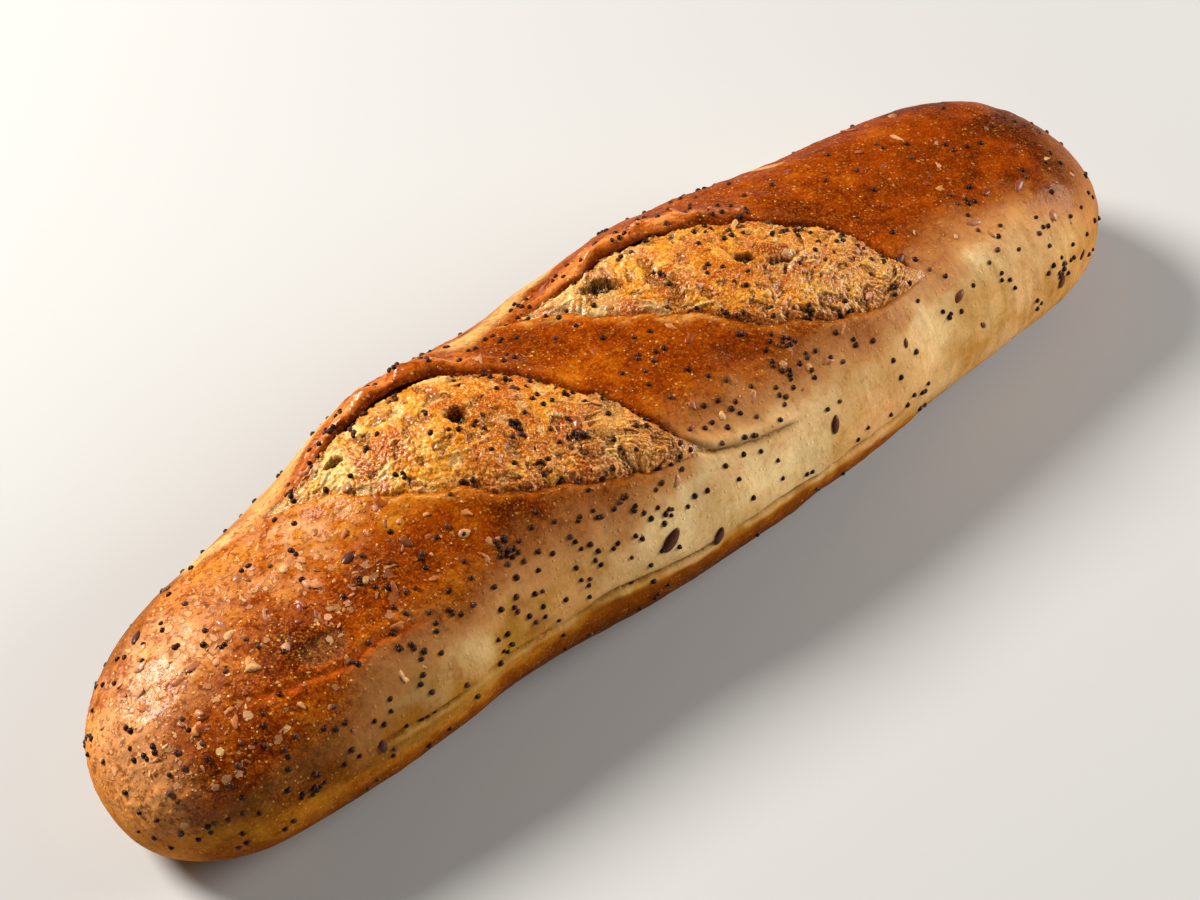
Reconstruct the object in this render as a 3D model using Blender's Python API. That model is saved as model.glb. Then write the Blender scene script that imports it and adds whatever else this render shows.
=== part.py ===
"""A small seeded vienna loaf with two long diagonal slashes, as one solid.

Run it with blender --background --python part.py, or from the text editor.
Units are metres and +Z is up. The loaf lies along X on the plane z = 0. The
two ears stand at the back (+Y), and each slash runs from there over the top
to the front (-Y), towards +X.
"""

import math

import bmesh
import bpy
from mathutils import Vector

NAME = "seeded_vienna_loaf"

# Driving dimensions of the plain loaf, before its slashes.
LENGTH = 0.260
HALF_WIDTH = 0.0360
CROWN_HEIGHT = 0.0457
WIDEST_LEVEL = 0.40 * CROWN_HEIGHT
BASE_DROP = 1.3 * WIDEST_LEVEL
BASE_EDGE_ROUND = 0.0025
SECTION_POWER = 2.25
AXIS_BOW = 0.0063
AXIS_SWAY = 0.0006
SWAY_PEAK = 2.0 / (3.0 * math.sqrt(3.0))

# Each half tapers towards its end, and closes in a rounded cap.
NEAR_HALF = {"taper": 0.40, "taper_power": 1.81, "cap": 0.027, "cap_power": 2.36}
FAR_HALF = {"taper": 0.25, "taper_power": 1.81, "cap": 0.0325, "cap_power": 2.66}
BASE_TAPER_POWER = 0.4
BASE_CAP_POWER = 0.8

# Bumps and hollows of the flanks: the flank swells out behind each ear, and the
# front is drawn in beside the near slash and full beside the far one.
BACK = math.radians(65)
FRONT = math.radians(175)
FLANK_BUMPS = (
    {"x": -0.0426, "height": 0.0052, "near_reach": 0.022, "far_reach": 0.022, "facing": BACK},
    {"x": 0.0260, "height": 0.0040, "near_reach": 0.024, "far_reach": 0.030, "facing": BACK},
    {"x": -0.0459, "height": -0.0030, "near_reach": 0.026, "far_reach": 0.026, "facing": FRONT},
    {"x": 0.0283, "height": 0.0015, "near_reach": 0.034, "far_reach": 0.034, "facing": FRONT},
)

# A slash is laid out on the crust as (x, arc), the arc measured round the loaf
# from its top line, positive towards the front. Its outline is a lens between
# the free edge of the ear and the front lip.
ARC_RADIUS = 0.0365
NEAR_SLASH = {
    "start": (-0.0760, -0.0225),
    "end": (0.0000, 0.0300),
    "ear_edge": {"width": 0.0210, "skew": 0.95, "fullness": 1.15},
    "lip_edge": {"width": 0.0100, "skew": 1.15, "fullness": 0.85},
    "ear_height": 0.0032,
    "ear_peak": 0.30,
}
FAR_SLASH = {
    "start": (-0.0145, -0.0235),
    "end": (0.0670, 0.0250),
    "ear_edge": {"width": 0.0176, "skew": 1.22, "fullness": 1.00},
    "lip_edge": {"width": 0.0126, "skew": 1.65, "fullness": 0.80},
    "ear_height": 0.0030,
    "ear_peak": 0.36,
}
SLASHES = (NEAR_SLASH, FAR_SLASH)

# Relief across a slash, from the ear over the bloom to the front lip.
EAR_SPREAD = 0.32
EAR_WIDTH = 0.0085
EAR_FACE = 0.0026
CREVICE_DEPTH = 0.0046
CREVICE_WIDTH = 0.0040
CREVICE_FAR_SHARE = 0.25
BLOOM_CROWN = 0.0020
BLOOM_FULLNESS = 0.8
LIP_HEIGHT = 0.0010
LIP_WIDTH = 0.0045
LIP_GROOVE = 0.0012
LIP_GROOVE_WIDTH = 0.0024
TIP_FADE = 0.5

# The fold along both flanks, where the dough lay in its tray.
FOLD_LEVEL = 0.0203
FOLD_SLOPE = -0.035
FOLD_DEPTH = 0.0012
FOLD_WIDTH = 0.0030
FOLD_REACH = 0.090

# The mesh: rings round the loaf, which lean along the slashes.
RING_COUNT = 108
RING_POINTS = 44
RING_LEAN = 0.046
OUTLINE_STEPS = 2000

CRUST_COLOUR = (0.46, 0.20, 0.055, 1.0)
CRUST_ROUGHNESS = 0.45


def bell(distance, width):
    return math.exp(-((distance / width) ** 2))


def smooth_step(value, half_width):
    """Goes from 0 to 1 as value goes from -half_width to half_width."""
    part = max(0.0, min(1.0, 0.5 + 0.5 * value / half_width))
    return part * part * (3.0 - 2.0 * part)


def closing(t):
    """The taper and the end cap at t, which is -1 and 1 at the loaf's ends."""
    half = NEAR_HALF if t < 0 else FAR_HALF
    taper = 1.0 - half["taper"] * abs(t) ** half["taper_power"]
    into_cap = 1.0 - min(1.0, (1.0 - abs(t)) * LENGTH / 2.0 / half["cap"])
    power = half["cap_power"]
    cap = max(0.0, 1.0 - into_cap**power) ** (1.0 / power)
    return taper, cap


def rounded_floor(z):
    """Flattens what lies below z = 0, with a small round where the flank meets the base."""
    if z >= BASE_EDGE_ROUND:
        return z
    if z <= -BASE_EDGE_ROUND:
        return 0.0
    return (z + BASE_EDGE_ROUND) ** 2 / (4.0 * BASE_EDGE_ROUND)


def flank_bumps(x, angle):
    """How far the crust stands out from the plain section, for its bumps and hollows."""
    total = 0.0
    for bump in FLANK_BUMPS:
        reach = bump["near_reach"] if x < bump["x"] else bump["far_reach"]
        facing = max(0.0, math.cos(angle - bump["facing"])) ** 2
        total += bump["height"] * facing * bell(x - bump["x"], reach)
    return total


def lens_edge(u, edge):
    """How far an edge of a slash stands off its centre line, at u from 0 to 1 along it."""
    if not 0.0 < u < 1.0:
        return 0.0
    return edge["width"] * math.sin(math.pi * u ** edge["skew"]) ** edge["fullness"]


def slash_place(slash, x, arc):
    """A crust point as (u along the slash, distance past the ear's edge, distance to the lip)."""
    start = Vector(slash["start"])
    run = Vector(slash["end"]) - start
    point = Vector((x, arc)) - start
    along = run.normalized()
    across = Vector((-along.y, along.x))
    u = point.dot(along) / run.length
    v = point.dot(across)
    from_ear = v + lens_edge(u, slash["ear_edge"])
    to_lip = lens_edge(u, slash["lip_edge"]) - v
    return u, from_ear, to_lip


def bloom_relief(from_ear, to_lip, lift):
    """The torn crumb in a slash: a low crown, between a crevice under the ear and the lip's groove."""
    share = max(0.0, min(1.0, from_ear / max(from_ear + to_lip, 1e-6)))
    crown = BLOOM_CROWN * math.sin(math.pi * share) ** BLOOM_FULLNESS
    depth = CREVICE_DEPTH * (CREVICE_FAR_SHARE + (1.0 - CREVICE_FAR_SHARE) * lift)
    crevice = depth * bell(from_ear, CREVICE_WIDTH)
    groove = LIP_GROOVE * bell(to_lip, LIP_GROOVE_WIDTH)
    return crown - crevice - groove


def slash_relief(slash, x, arc):
    """Height of the crust or the bloom over the plain loaf near one slash."""
    u, from_ear, to_lip = slash_place(slash, x, arc)
    if not 0.0 < u < 1.0:
        return 0.0
    ends = math.sin(math.pi * u) ** TIP_FADE
    lift = bell(u - slash["ear_peak"], EAR_SPREAD)
    ear = slash["ear_height"] * lift * bell(min(0.0, from_ear), EAR_WIDTH)
    lip = LIP_HEIGHT * bell(min(0.0, to_lip), LIP_WIDTH)
    past_ear = smooth_step(from_ear, EAR_FACE)
    past_lip = smooth_step(-to_lip, EAR_FACE)
    bloom = bloom_relief(from_ear, to_lip, lift)
    inside = bloom * (1.0 - past_lip) + lip * past_lip
    return ends * (ear * (1.0 - past_ear) + inside * past_ear)


def fold_relief(x, z):
    """The shallow fold along a flank, negative because it is pressed in."""
    level = FOLD_LEVEL + FOLD_SLOPE * x
    return -FOLD_DEPTH * bell(x, FOLD_REACH) * bell(z - level, FOLD_WIDTH)


def axis_offset(t):
    """How far the loaf's axis bends to the back."""
    return AXIS_BOW * (1.0 - t * t) + AXIS_SWAY * (t - t**3) / SWAY_PEAK


def crust_point(x, angle):
    """The point of the crust at x, at an angle round the loaf: 0 is +Y, and 90 degrees the top."""
    t = 2.0 * x / LENGTH
    taper, cap = closing(t)
    cos_a = math.cos(angle)
    sin_a = math.sin(angle)
    power = SECTION_POWER
    reach = (abs(cos_a) ** power + abs(sin_a) ** power) ** (-1.0 / power)
    y = HALF_WIDTH * taper * cap * reach * cos_a
    if sin_a > 0.0:
        rise = (CROWN_HEIGHT - WIDEST_LEVEL) * taper * cap
    else:
        rise = BASE_DROP * taper**BASE_TAPER_POWER * cap**BASE_CAP_POWER
    z = WIDEST_LEVEL + rise * reach * sin_a
    relief = flank_bumps(x, angle)
    if sin_a > 0.0:
        arc = ARC_RADIUS * (angle - math.pi / 2.0)
        relief += sum(slash_relief(slash, x, arc) for slash in SLASHES)
    relief += fold_relief(x, z) * abs(cos_a)
    y += relief * cos_a + axis_offset(t)
    z += relief * sin_a
    return Vector((x, y, rounded_floor(z)))


def even_stations(count):
    """Places along the loaf, as t, that are evenly spaced along its outline from end to end."""
    samples = [2.0 * i / OUTLINE_STEPS - 1.0 for i in range(OUTLINE_STEPS + 1)]
    half_widths = [HALF_WIDTH * math.prod(closing(t)) for t in samples]
    lengths = [0.0]
    for i in range(OUTLINE_STEPS):
        step_x = (samples[i + 1] - samples[i]) * LENGTH / 2.0
        step_y = half_widths[i + 1] - half_widths[i]
        lengths.append(lengths[-1] + math.hypot(step_x, step_y))
    stations = []
    index = 0
    for ring in range(1, count + 1):
        wanted = lengths[-1] * ring / (count + 1)
        while lengths[index + 1] < wanted:
            index += 1
        part = (wanted - lengths[index]) / (lengths[index + 1] - lengths[index])
        stations.append(samples[index] + part * (samples[index + 1] - samples[index]))
    return stations


def shape_ball(mesh):
    """Turns a unit ball, with its poles up and down, into the loaf, with its poles at the ends."""
    stations = [-1.0, *even_stations(RING_COUNT), 1.0]
    for vertex in mesh.verts:
        polar = math.acos(max(-1.0, min(1.0, vertex.co.z)))
        t = stations[round(polar / math.pi * (RING_COUNT + 1))]
        angle = math.atan2(vertex.co.y, vertex.co.x) % (2.0 * math.pi)
        lean = -RING_LEAN * (1.0 - t * t) * math.cos(angle)
        vertex.co = crust_point(t * LENGTH / 2.0 + lean, angle)


def centre_on_base(mesh):
    """Moves the loaf so that the middle of its box's underside is the origin."""
    middle = Vector((0.0, 0.0, 0.0))
    for axis in range(3):
        lowest = min(vertex.co[axis] for vertex in mesh.verts)
        highest = max(vertex.co[axis] for vertex in mesh.verts)
        middle[axis] = lowest if axis == 2 else (lowest + highest) / 2.0
    bmesh.ops.translate(mesh, verts=mesh.verts, vec=-middle)


def crust_material():
    material = bpy.data.materials.new("baked_crust")
    material.use_nodes = True
    shader = material.node_tree.nodes["Principled BSDF"]
    shader.inputs["Base Color"].default_value = CRUST_COLOUR
    shader.inputs["Roughness"].default_value = CRUST_ROUGHNESS
    shader.inputs["Metallic"].default_value = 0.0
    return material


def build_loaf(collection):
    mesh = bmesh.new()
    bmesh.ops.create_uvsphere(
        mesh, u_segments=RING_POINTS, v_segments=RING_COUNT + 1, radius=1.0
    )
    shape_ball(mesh)
    centre_on_base(mesh)
    bmesh.ops.recalc_face_normals(mesh, faces=mesh.faces)
    data = bpy.data.meshes.new("loaf")
    mesh.to_mesh(data)
    mesh.free()
    data.shade_smooth()
    data.materials.append(crust_material())
    loaf = bpy.data.objects.new("loaf", data)
    collection.objects.link(loaf)
    return loaf


def main():
    for old in list(bpy.data.objects):
        bpy.data.objects.remove(old, do_unlink=True)
    collection = bpy.data.collections.new(NAME)
    bpy.context.scene.collection.children.link(collection)
    build_loaf(collection)


main()
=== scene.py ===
import math

import bpy
import numpy as np
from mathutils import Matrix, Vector


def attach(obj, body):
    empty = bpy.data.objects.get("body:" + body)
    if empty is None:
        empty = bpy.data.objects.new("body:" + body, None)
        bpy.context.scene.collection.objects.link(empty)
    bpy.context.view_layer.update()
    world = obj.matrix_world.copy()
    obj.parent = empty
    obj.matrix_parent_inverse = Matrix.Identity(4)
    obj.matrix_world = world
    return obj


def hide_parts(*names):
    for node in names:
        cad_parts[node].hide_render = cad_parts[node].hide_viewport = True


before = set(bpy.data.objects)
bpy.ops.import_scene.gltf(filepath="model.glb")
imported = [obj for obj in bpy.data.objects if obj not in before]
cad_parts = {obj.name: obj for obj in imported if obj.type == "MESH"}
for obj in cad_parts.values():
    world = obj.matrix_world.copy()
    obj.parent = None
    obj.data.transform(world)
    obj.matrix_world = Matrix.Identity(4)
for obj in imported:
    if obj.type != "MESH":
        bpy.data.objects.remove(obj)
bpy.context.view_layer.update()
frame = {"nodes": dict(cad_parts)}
print("frame loaded:", ", ".join(frame["nodes"]))

toMetres = 0.001
quarterTurn = math.pi / 2


# small helpers
def bell(distance, width):
    return np.exp(-((distance / width) ** 2))


def ease(value, low, high):
    # 0 below low, 1 above high, and smooth between them
    part = np.clip((value - low) / (high - low), 0.0, 1.0)
    return part * part * (3.0 - 2.0 * part)


def mixed(first, second, share):
    return first + (second - first) * share


def dyed(colour, other, share):
    # colours at points, taken towards another colour
    return colour + (other - colour) * np.asarray(share)[..., None]


def laid(colour, paints, *layers):
    # tones laid over a colour one after another, each by its own share from 0 to 1
    for name, share in layers:
        colour = dyed(colour, paints[name], np.clip(share, 0, 1))
    return colour


def paint(red, green, blue):
    # screen colour, 0 to 255, to the light values that shaders use
    value = np.array([red, green, blue]) / 255.0
    return np.where(value <= 0.04045, value / 12.92, ((value + 0.055) / 1.055) ** 2.4)


def gridChance(cells, seed):
    # one repeatable number from 0 to 1 for each whole-number cell, shuffled with large odd numbers
    h = cells[..., 0] * 374761393 + cells[..., 1] * 668265263 + cells[..., 2] * 362437 + seed * 974634777
    h = (h ^ (h >> 13)) & 0xFFFFFFFF
    for shift, factor in ((16, 1274126177), (15, 668265263)):
        h = (h * factor) & 0xFFFFFFFF
        h = h ^ (h >> shift)
    return (h & 0xFFFFFF) / 0xFFFFFF


def lumps(place, size, seed):
    # soft noise from about -1 to 1, size mm from one lump to the next
    place = place / size
    cell = np.floor(place).astype(np.int64)
    part = place - cell
    part = part * part * (3.0 - 2.0 * part)
    total = 0.0
    for corner in range(8):
        step = np.array([corner & 1, corner >> 1 & 1, corner >> 2])
        weight = np.prod(np.where(step == 1, part, 1.0 - part), axis=-1)
        total = total + weight * gridChance(cell + step, seed)
    return 2.6 * total - 1.3


def layered(place, *layers):
    # lumps of several sizes over each other: share, size in mm and seed of each
    return sum(share * lumps(place, size, seed) for share, size, seed in layers)


def bubbles(place, size, seed):
    # distance to the nearest of scattered centres, in sizes, and a chance number of that one
    place = place / size
    cell = np.floor(place).astype(np.int64)
    nearest = np.full(place.shape[:-1], 9.0)
    chance = np.zeros_like(nearest)
    for index in range(27):
        other = cell + np.array([index % 3 - 1, index // 3 % 3 - 1, index // 9 - 1])
        centre = other + np.stack([gridChance(other, seed + k) for k in range(3)], axis=-1)
        gap = np.linalg.norm(place - centre, axis=-1)
        chance = np.where(gap < nearest, gridChance(other, seed + 3), chance)
        nearest = np.minimum(nearest, gap)
    return nearest, chance


def smoothCurve(points, steps=24):
    # more points on a smooth curve through the given ones (rows of numbers)
    points = np.array(points, float)
    padded = np.vstack([2 * points[0] - points[1], points, 2 * points[-1] - points[-2]])
    rows = []
    for k in range(len(points) - 1):
        a, b, c, d = padded[k : k + 4]
        for t in np.linspace(0, 1, steps, endpoint=False):
            rows.append(0.5 * (2 * b + (c - a) * t + (2 * a - 5 * b + 4 * c - d) * t**2
                               + (3 * b - a - 3 * c + d) * t**3))
    return np.array(rows + [points[-1]])


def tableAt(x, table):
    return np.interp(x, table[:, 0], table[:, 1])


def lineDistance(x, arc, line):
    # distance on the crust to a line of (x, arc) points, and the share of the way along it
    line = np.asarray(line, float)
    best = np.full(np.shape(x), 1e9)
    along = np.zeros(np.shape(x))
    lengths = np.linalg.norm(np.diff(line, axis=0), axis=1)
    starts = np.concatenate([[0], np.cumsum(lengths)])
    for k in range(len(line) - 1):
        run = line[k + 1] - line[k]
        part = np.clip(((x - line[k, 0]) * run[0] + (arc - line[k, 1]) * run[1]) / lengths[k] ** 2, 0, 1)
        gapX = x - line[k, 0] - part * run[0]
        gapArc = arc - line[k, 1] - part * run[1]
        side = np.sign(run[0] * gapArc - run[1] * gapX)
        gap = np.hypot(gapX, gapArc)
        closer = gap < np.abs(best)
        best = np.where(closer, gap * np.where(side == 0, 1, side), best)
        along = np.where(closer, (starts[k] + part * lengths[k]) / starts[-1], along)
    return best, along


# the loaf's plain form
loafForm = {
    "length": 260.0,
    "halfWidth": 36.0,
    "crown": 45.7,
    "widestLevel": 18.28,
    "baseDrop": 23.8,
    "baseRound": 2.5,
    "sectionPower": 2.25,
    "baseTaper": 0.4, "baseCap": 0.8,       # how much less the underside narrows
    "bow": 6.3,                 # how far its middle bends to the back
    "sway": 0.6, "swayScale": 2.598,        # the scale makes t - t**3 reach 1
    "toRow": -5.79,             # brings the middle of its box to y = 0
    "nearEnd": {"taper": 0.40, "taperPower": 1.81, "cap": 27.0, "capPower": 2.36},
    "farEnd": {"taper": 0.25, "taperPower": 1.81, "cap": 32.5, "capPower": 2.66},
    "arcRadius": 36.5,          # arc = this radius times the angle past the top, + to the front
}

# swellings and hollows of the flanks: x, height, reach to the near end, reach to the far end, facing
flankBumps = [
    (-42.6, 5.2, 22.0, 22.0, 65.0),
    (26.0, 4.0, 24.0, 30.0, 65.0),
    (-45.9, -3.0, 26.0, 26.0, 175.0),
    (28.3, 1.5, 34.0, 34.0, 175.0),
]


def closing(t):
    # how far the section narrows and its end closes at t, which runs from -1 to 1 along the loaf
    near, far = loafForm["nearEnd"], loafForm["farEnd"]
    taper, taperPower, cap, capPower = (
        np.where(t < 0, near[key], far[key]) for key in ("taper", "taperPower", "cap", "capPower"))
    narrowing = 1.0 - taper * np.abs(t) ** taperPower
    into = 1.0 - np.minimum(1.0, (1.0 - np.abs(t)) * loafForm["length"] / 2 / cap)
    return narrowing, np.maximum(0.0, 1.0 - into**capPower) ** (1.0 / capPower)


def plainLoaf(x, angle):
    # the loaf without slashes, before its base is flattened; angle 0 is the back, 90 degrees the top
    form = loafForm
    t = np.clip(2.0 * x / form["length"], -1.0, 1.0)
    narrowing, cap = closing(t)
    cosine, sine = np.cos(angle), np.sin(angle)
    power = form["sectionPower"]
    reach = (np.abs(cosine) ** power + np.abs(sine) ** power) ** (-1.0 / power)
    y = form["halfWidth"] * narrowing * cap * reach * cosine
    upper = (form["crown"] - form["widestLevel"]) * narrowing * cap
    lower = form["baseDrop"] * narrowing ** form["baseTaper"] * cap ** form["baseCap"]
    z = form["widestLevel"] + np.where(sine > 0, upper, lower) * reach * sine
    swell = 0.0
    for middle, height, nearReach, farReach, facing in flankBumps:
        faced = np.maximum(0.0, np.cos(angle - math.radians(facing))) ** 2
        swell = swell + height * faced * bell(x - middle, np.where(x < middle, nearReach, farReach))
    y = y + swell * cosine + form["bow"] * (1 - t * t) + form["toRow"]
    y = y + form["sway"] * (t - t**3) * form["swayScale"]
    z = z + swell * sine
    return np.stack([t * form["length"] / 2, y, z], axis=-1)


def unit(vectors):
    return vectors / np.maximum(np.linalg.norm(vectors, axis=-1, keepdims=True), 1e-9)


def loafFrame(x, angle):
    # point of the plain loaf, the way out of it, and the two ways along its skin
    point = plainLoaf(x, angle)
    lengthways = plainLoaf(x + 0.3, angle) - plainLoaf(x - 0.3, angle)
    roundways = plainLoaf(x, angle + 0.01) - plainLoaf(x, angle - 0.01)
    outward = np.cross(roundways, lengthways)
    flat = np.linalg.norm(outward, axis=-1, keepdims=True) < 1e-4
    tip = np.stack([np.sign(x), 0 * x, 0 * x], axis=-1)
    return point, np.where(flat, tip, unit(outward)), unit(lengthways), unit(roundways)


def onFloor(z):
    # rounds what is below the floor off into a small flat spot
    r = loafForm["baseRound"]
    return np.where(z >= r, z, np.where(z <= -r, 0.0, (z + r) ** 2 / (4 * r)))


# the two slashes
slashes = [
    {
        "name": "bloomNear", "seed": 11,
        "start": (-76.0, -22.5), "end": (0.0, 30.0),        # (x, arc)
        "earEdge": {"width": 21.0, "skew": 0.95, "fullness": 1.15},
        "lipEdge": {"width": 10.0, "skew": 1.15, "fullness": 0.85},
        "earHeight": 3.2, "earPeak": 0.30, "earSpread": 0.30,
        "lipRise": (0.3, 0.5, 0.9, 0.9, 0.6),               # along the slash
        "crown": 2.2,
    },
    {
        "name": "bloomFar", "seed": 47,
        "start": (-14.5, -23.5), "end": (67.0, 25.0),
        "earEdge": {"width": 17.6, "skew": 1.22, "fullness": 1.00},
        "lipEdge": {"width": 12.6, "skew": 1.65, "fullness": 0.80},
        "earHeight": 3.0, "earPeak": 0.36, "earSpread": 0.30,
        "lipRise": (0.2, 0.2, 0.3, 0.9, 0.9),
        "crown": 1.9,
    },
]

earCut = {
    "troughDepth": 4.4,
    "creaseDepth": 2.3,
    "creaseLift": 2.4,
    "wander": 1.0,              # how unevenly the edges run
    "fineWander": 0.6,
}

# across an ear: mm past its edge on the plain crust, where that crust goes, and how high it stands
earProfile = smoothCurve([(-14, -14, 0.0), (-9, -9, 0.12), (-5.5, -5.4, 0.30), (-3.0, -2.7, 0.72),
                          (-0.9, -0.1, 1.0), (0.6, 1.6, 0.9), (1.5, 2.2, 0.62), (2.3, 2.0, 0.3),
                          (3.2, 1.0, 0.05), (4.3, -0.3, -0.25), (5.4, -0.4, -0.75), (6.6, 1.2, -1.2),
                          (8.4, 4.6, -1.38), (12, 12, -1.4), (60, 60, -1.4)])
creaseProfile = smoothCurve([(-14, -14, 0.0), (-5, -5, 0.06), (-2, -1.9, 0.16), (-0.5, -0.3, 0.2),
                             (0.2, 0.5, 0.08), (0.7, 0.8, -0.3), (1.3, 0.9, -0.7), (2.6, 2.2, -0.95),
                             (5, 5, -1.0), (12, 12, -1.0), (60, 60, -1.0)])
lipProfile = smoothCurve([(-14, 0.0), (-6, 0.12), (-3, 0.5), (-1.0, 0.95), (0.2, 0.85), (0.9, 0.0),
                          (1.6, -1.2), (3, -2.6), (8, -3.0), (60, -3.0)])
earBottom, lipBottom = 1.4, 3.0         # how deep the ear's and the lip's profiles end


def slashRun(slash):
    start, end = np.array(slash["start"]), np.array(slash["end"])
    length = np.linalg.norm(end - start)
    along = (end - start) / length
    return start, along, np.array([-along[1], along[0]]), length


def lensEdge(u, edge):
    # one side of the lens-shaped opening
    along = math.pi * np.clip(u, 1e-6, 1 - 1e-6) ** edge["skew"]
    return np.where((u > 0) & (u < 1), edge["width"] * np.sin(along) ** edge["fullness"], 0.0)


def slashEdges(slash, u):
    # how far the ear's free edge and the front lip stand off the slash's own line
    length = slashRun(slash)[3]
    fade = ease(np.sin(math.pi * np.clip(u, 0, 1)), 0.0, 0.6)
    track = np.stack([u * length, 0 * u + 3.7, 0 * u], axis=-1)
    seed = slash["seed"]
    ear = layered(track, (earCut["wander"], 8.0, seed), (earCut["fineWander"], 2.7, seed + 1))
    lip = layered(track, (earCut["wander"], 7.0, seed + 2), (earCut["fineWander"], 2.2, seed + 3))
    return lensEdge(u, slash["earEdge"]) + ear * fade, lensEdge(u, slash["lipEdge"]) + lip * fade


def fromStart(slash, x, arc):
    # share of the way along the slash's own line, and mm across it
    start, along, across, length = slashRun(slash)
    u = ((x - start[0]) * along[0] + (arc - start[1]) * along[1]) / length
    return u, (x - start[0]) * across[0] + (arc - start[1]) * across[1]


def slashPlace(slash, x, arc):
    # share of the way along, mm past the ear's edge, mm still to go to the front lip, and the opening's width
    u, v = fromStart(slash, x, arc)
    ear, lip = slashEdges(slash, u)
    return u, v + ear, lip - v, ear + lip


def alongSlash(u, values):
    return np.interp(u, np.linspace(0, 1, len(values)), values)


def slashCut(slash, x, arc):
    # height over the plain crust and the sideways push that the slash gives, with how far it reaches
    u, pastEar, toLip, width = slashPlace(slash, x, arc)
    ends = ease(np.sin(math.pi * np.clip(u, 0, 1)), 0.0, 0.45) * (u > 0) * (u < 1)
    lift = bell(u - slash["earPeak"], slash["earSpread"]) * ends
    opened = ease(width, 2.0, 12.0)
    depth = mixed(earCut["creaseDepth"], earCut["troughDepth"], lift) * opened
    # each profile's heights are shares of the ear's or lip's rise above the crust, and of the depth below it
    ear = tableAt(pastEar, earProfile[:, [0, 2]])
    crease = tableAt(pastEar, creaseProfile[:, [0, 2]])
    lip = tableAt(toLip, lipProfile)
    earSide = np.where(ear > 0, ear * slash["earHeight"] * lift, ear / earBottom * depth)
    creaseSide = np.where(crease > 0, crease * earCut["creaseLift"] * ends, crease * depth)
    lipSide = np.where(lip > 0, lip * alongSlash(u, slash["lipRise"]) * ends, lip / lipBottom * depth)
    height = np.maximum(mixed(creaseSide, earSide, lift), lipSide)
    pushes = [np.interp(pastEar, p[:, 0], p[:, 1] - p[:, 0]) for p in (creaseProfile, earProfile)]
    push = mixed(*pushes, lift) * ends * opened * (toLip > 0)
    reach = ease(pastEar, -10.0, -1.0) * ease(toLip, -6.0, 0.0) * ends
    return height, push, reach, (u, pastEar, toLip, lift)


# the crust
crustRelief = {
    # lumps: height in mm, size in mm and seed
    "lumps": ((0.42, 24.0, 31), (0.26, 9.0, 32)), "smallLumps": (0.13, 3.4, 33),
    "earLumps": ((0.80, 4.6, 91), (0.60, 2.1, 92), (0.22, 1.0, 90)),
    "blisters": ((4.6, 0.40, 61), (2.7, 0.36, 66), (1.7, 0.24, 71)),        # spacing, height and seed
    "foldLevel": 20.3, "foldSlope": -0.035, "foldDepth": 0.9, "foldWidth": 0.55, "foldRoll": 0.3,
    "tear": {"depth": 0.42, "width": 0.8, "lip": 0.28, "lipWidth": 1.1},
    "crease": {"depth": 0.8, "width": 0.7, "lip": 0.5, "lipWidth": 1.5},
    "lipAway": 1.8,             # mm from a groove to its rolled lip
    "wrinkle": 0.06,
}
tearLine = smoothCurve([(-105, 15.5), (-99, 18.5), (-94, 20.2), (-87.5, 22.6), (-82, 23.4), (-76.5, 22.8),
                        (-71, 24.5), (-65, 26.2)], 6)
creaseLine = smoothCurve([(-5, 23.5), (-2, 28), (1, 31), (4, 32.2), (9.6, 34.4), (15.7, 35.8), (24, 37)], 6)
sunkenBlister = {"x": -86.5, "arc": 17.2, "long": 4.9, "wide": 3.7, "depth": 0.32}

# where the browned top starts to fade, as (x, angle): down the front, and down the back
paleFront = np.array([(-130, 144), (-119, 142), (-100, 133), (-80, 122), (-60, 119), (-40, 120),
                      (-20, 119), (0, 112), (20, 114), (40, 119), (60, 112), (80, 105), (100, 110),
                      (120, 122), (130, 132)])
paleBack = np.array([(-130, 62), (-110, 56), (-95, 52), (-80, 53), (-70, 52), (-60, 42), (-40, 34),
                     (-20, 40), (-10, 47), (4, 48), (14, 42), (30, 34), (55, 35), (64, 43), (70, 38),
                     (90, 32), (130, 44)])

fadeWidth = {"front": 33.0, "back": 26.0}       # degrees from browned to pale

# round each tip the fade goes by height, because every angle meets there: side, mm up, and x from and to
paleTips = [(1, 39.0, 104, 122), (-1, 27.0, 114, 126)]
tipFade = 17.0                                  # mm of height from browned to pale
lengthwaysOnly = np.array([1, 0, 0])


def fadeToPale(x, degrees, point):
    # 0 on the browned top, 1 on the pale sides
    ragged = layered(point, (5.0, 12.0, 21), (3.4, 4.6, 22), (2.0, 1.8, 23))
    front = (degrees + ragged - tableAt(x, paleFront)) / fadeWidth["front"]
    back = (tableAt(x, paleBack) - degrees + ragged) / fadeWidth["back"]
    fade = np.clip(np.maximum(front, back), 0, 1)
    for side, level, first, last in paleTips:
        byHeight = np.clip((level - point[..., 2] + 0.3 * ragged) / tipFade, 0, 1)
        fade = mixed(fade, byHeight, ease(side * x, first, last))
    return fade


def blistersOn(point):
    # height of the round blisters, each with a size of its own
    height = 0.0
    for spacing, tall, seed in crustRelief["blisters"]:
        gap, chance = bubbles(point, spacing, seed)
        size = 0.25 + 0.3 * chance
        height = height + tall * ease(chance, 0.1, 1.0) * np.maximum(0.0, 1 - (gap / size) ** 2) ** 1.5
    return height


def groove(gap, shape):
    # height across a groove with a rolled lip beside it
    lip = shape["lip"] * bell(gap + crustRelief["lipAway"], shape["lipWidth"])
    return lip - shape["depth"] * bell(gap, shape["width"])


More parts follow.
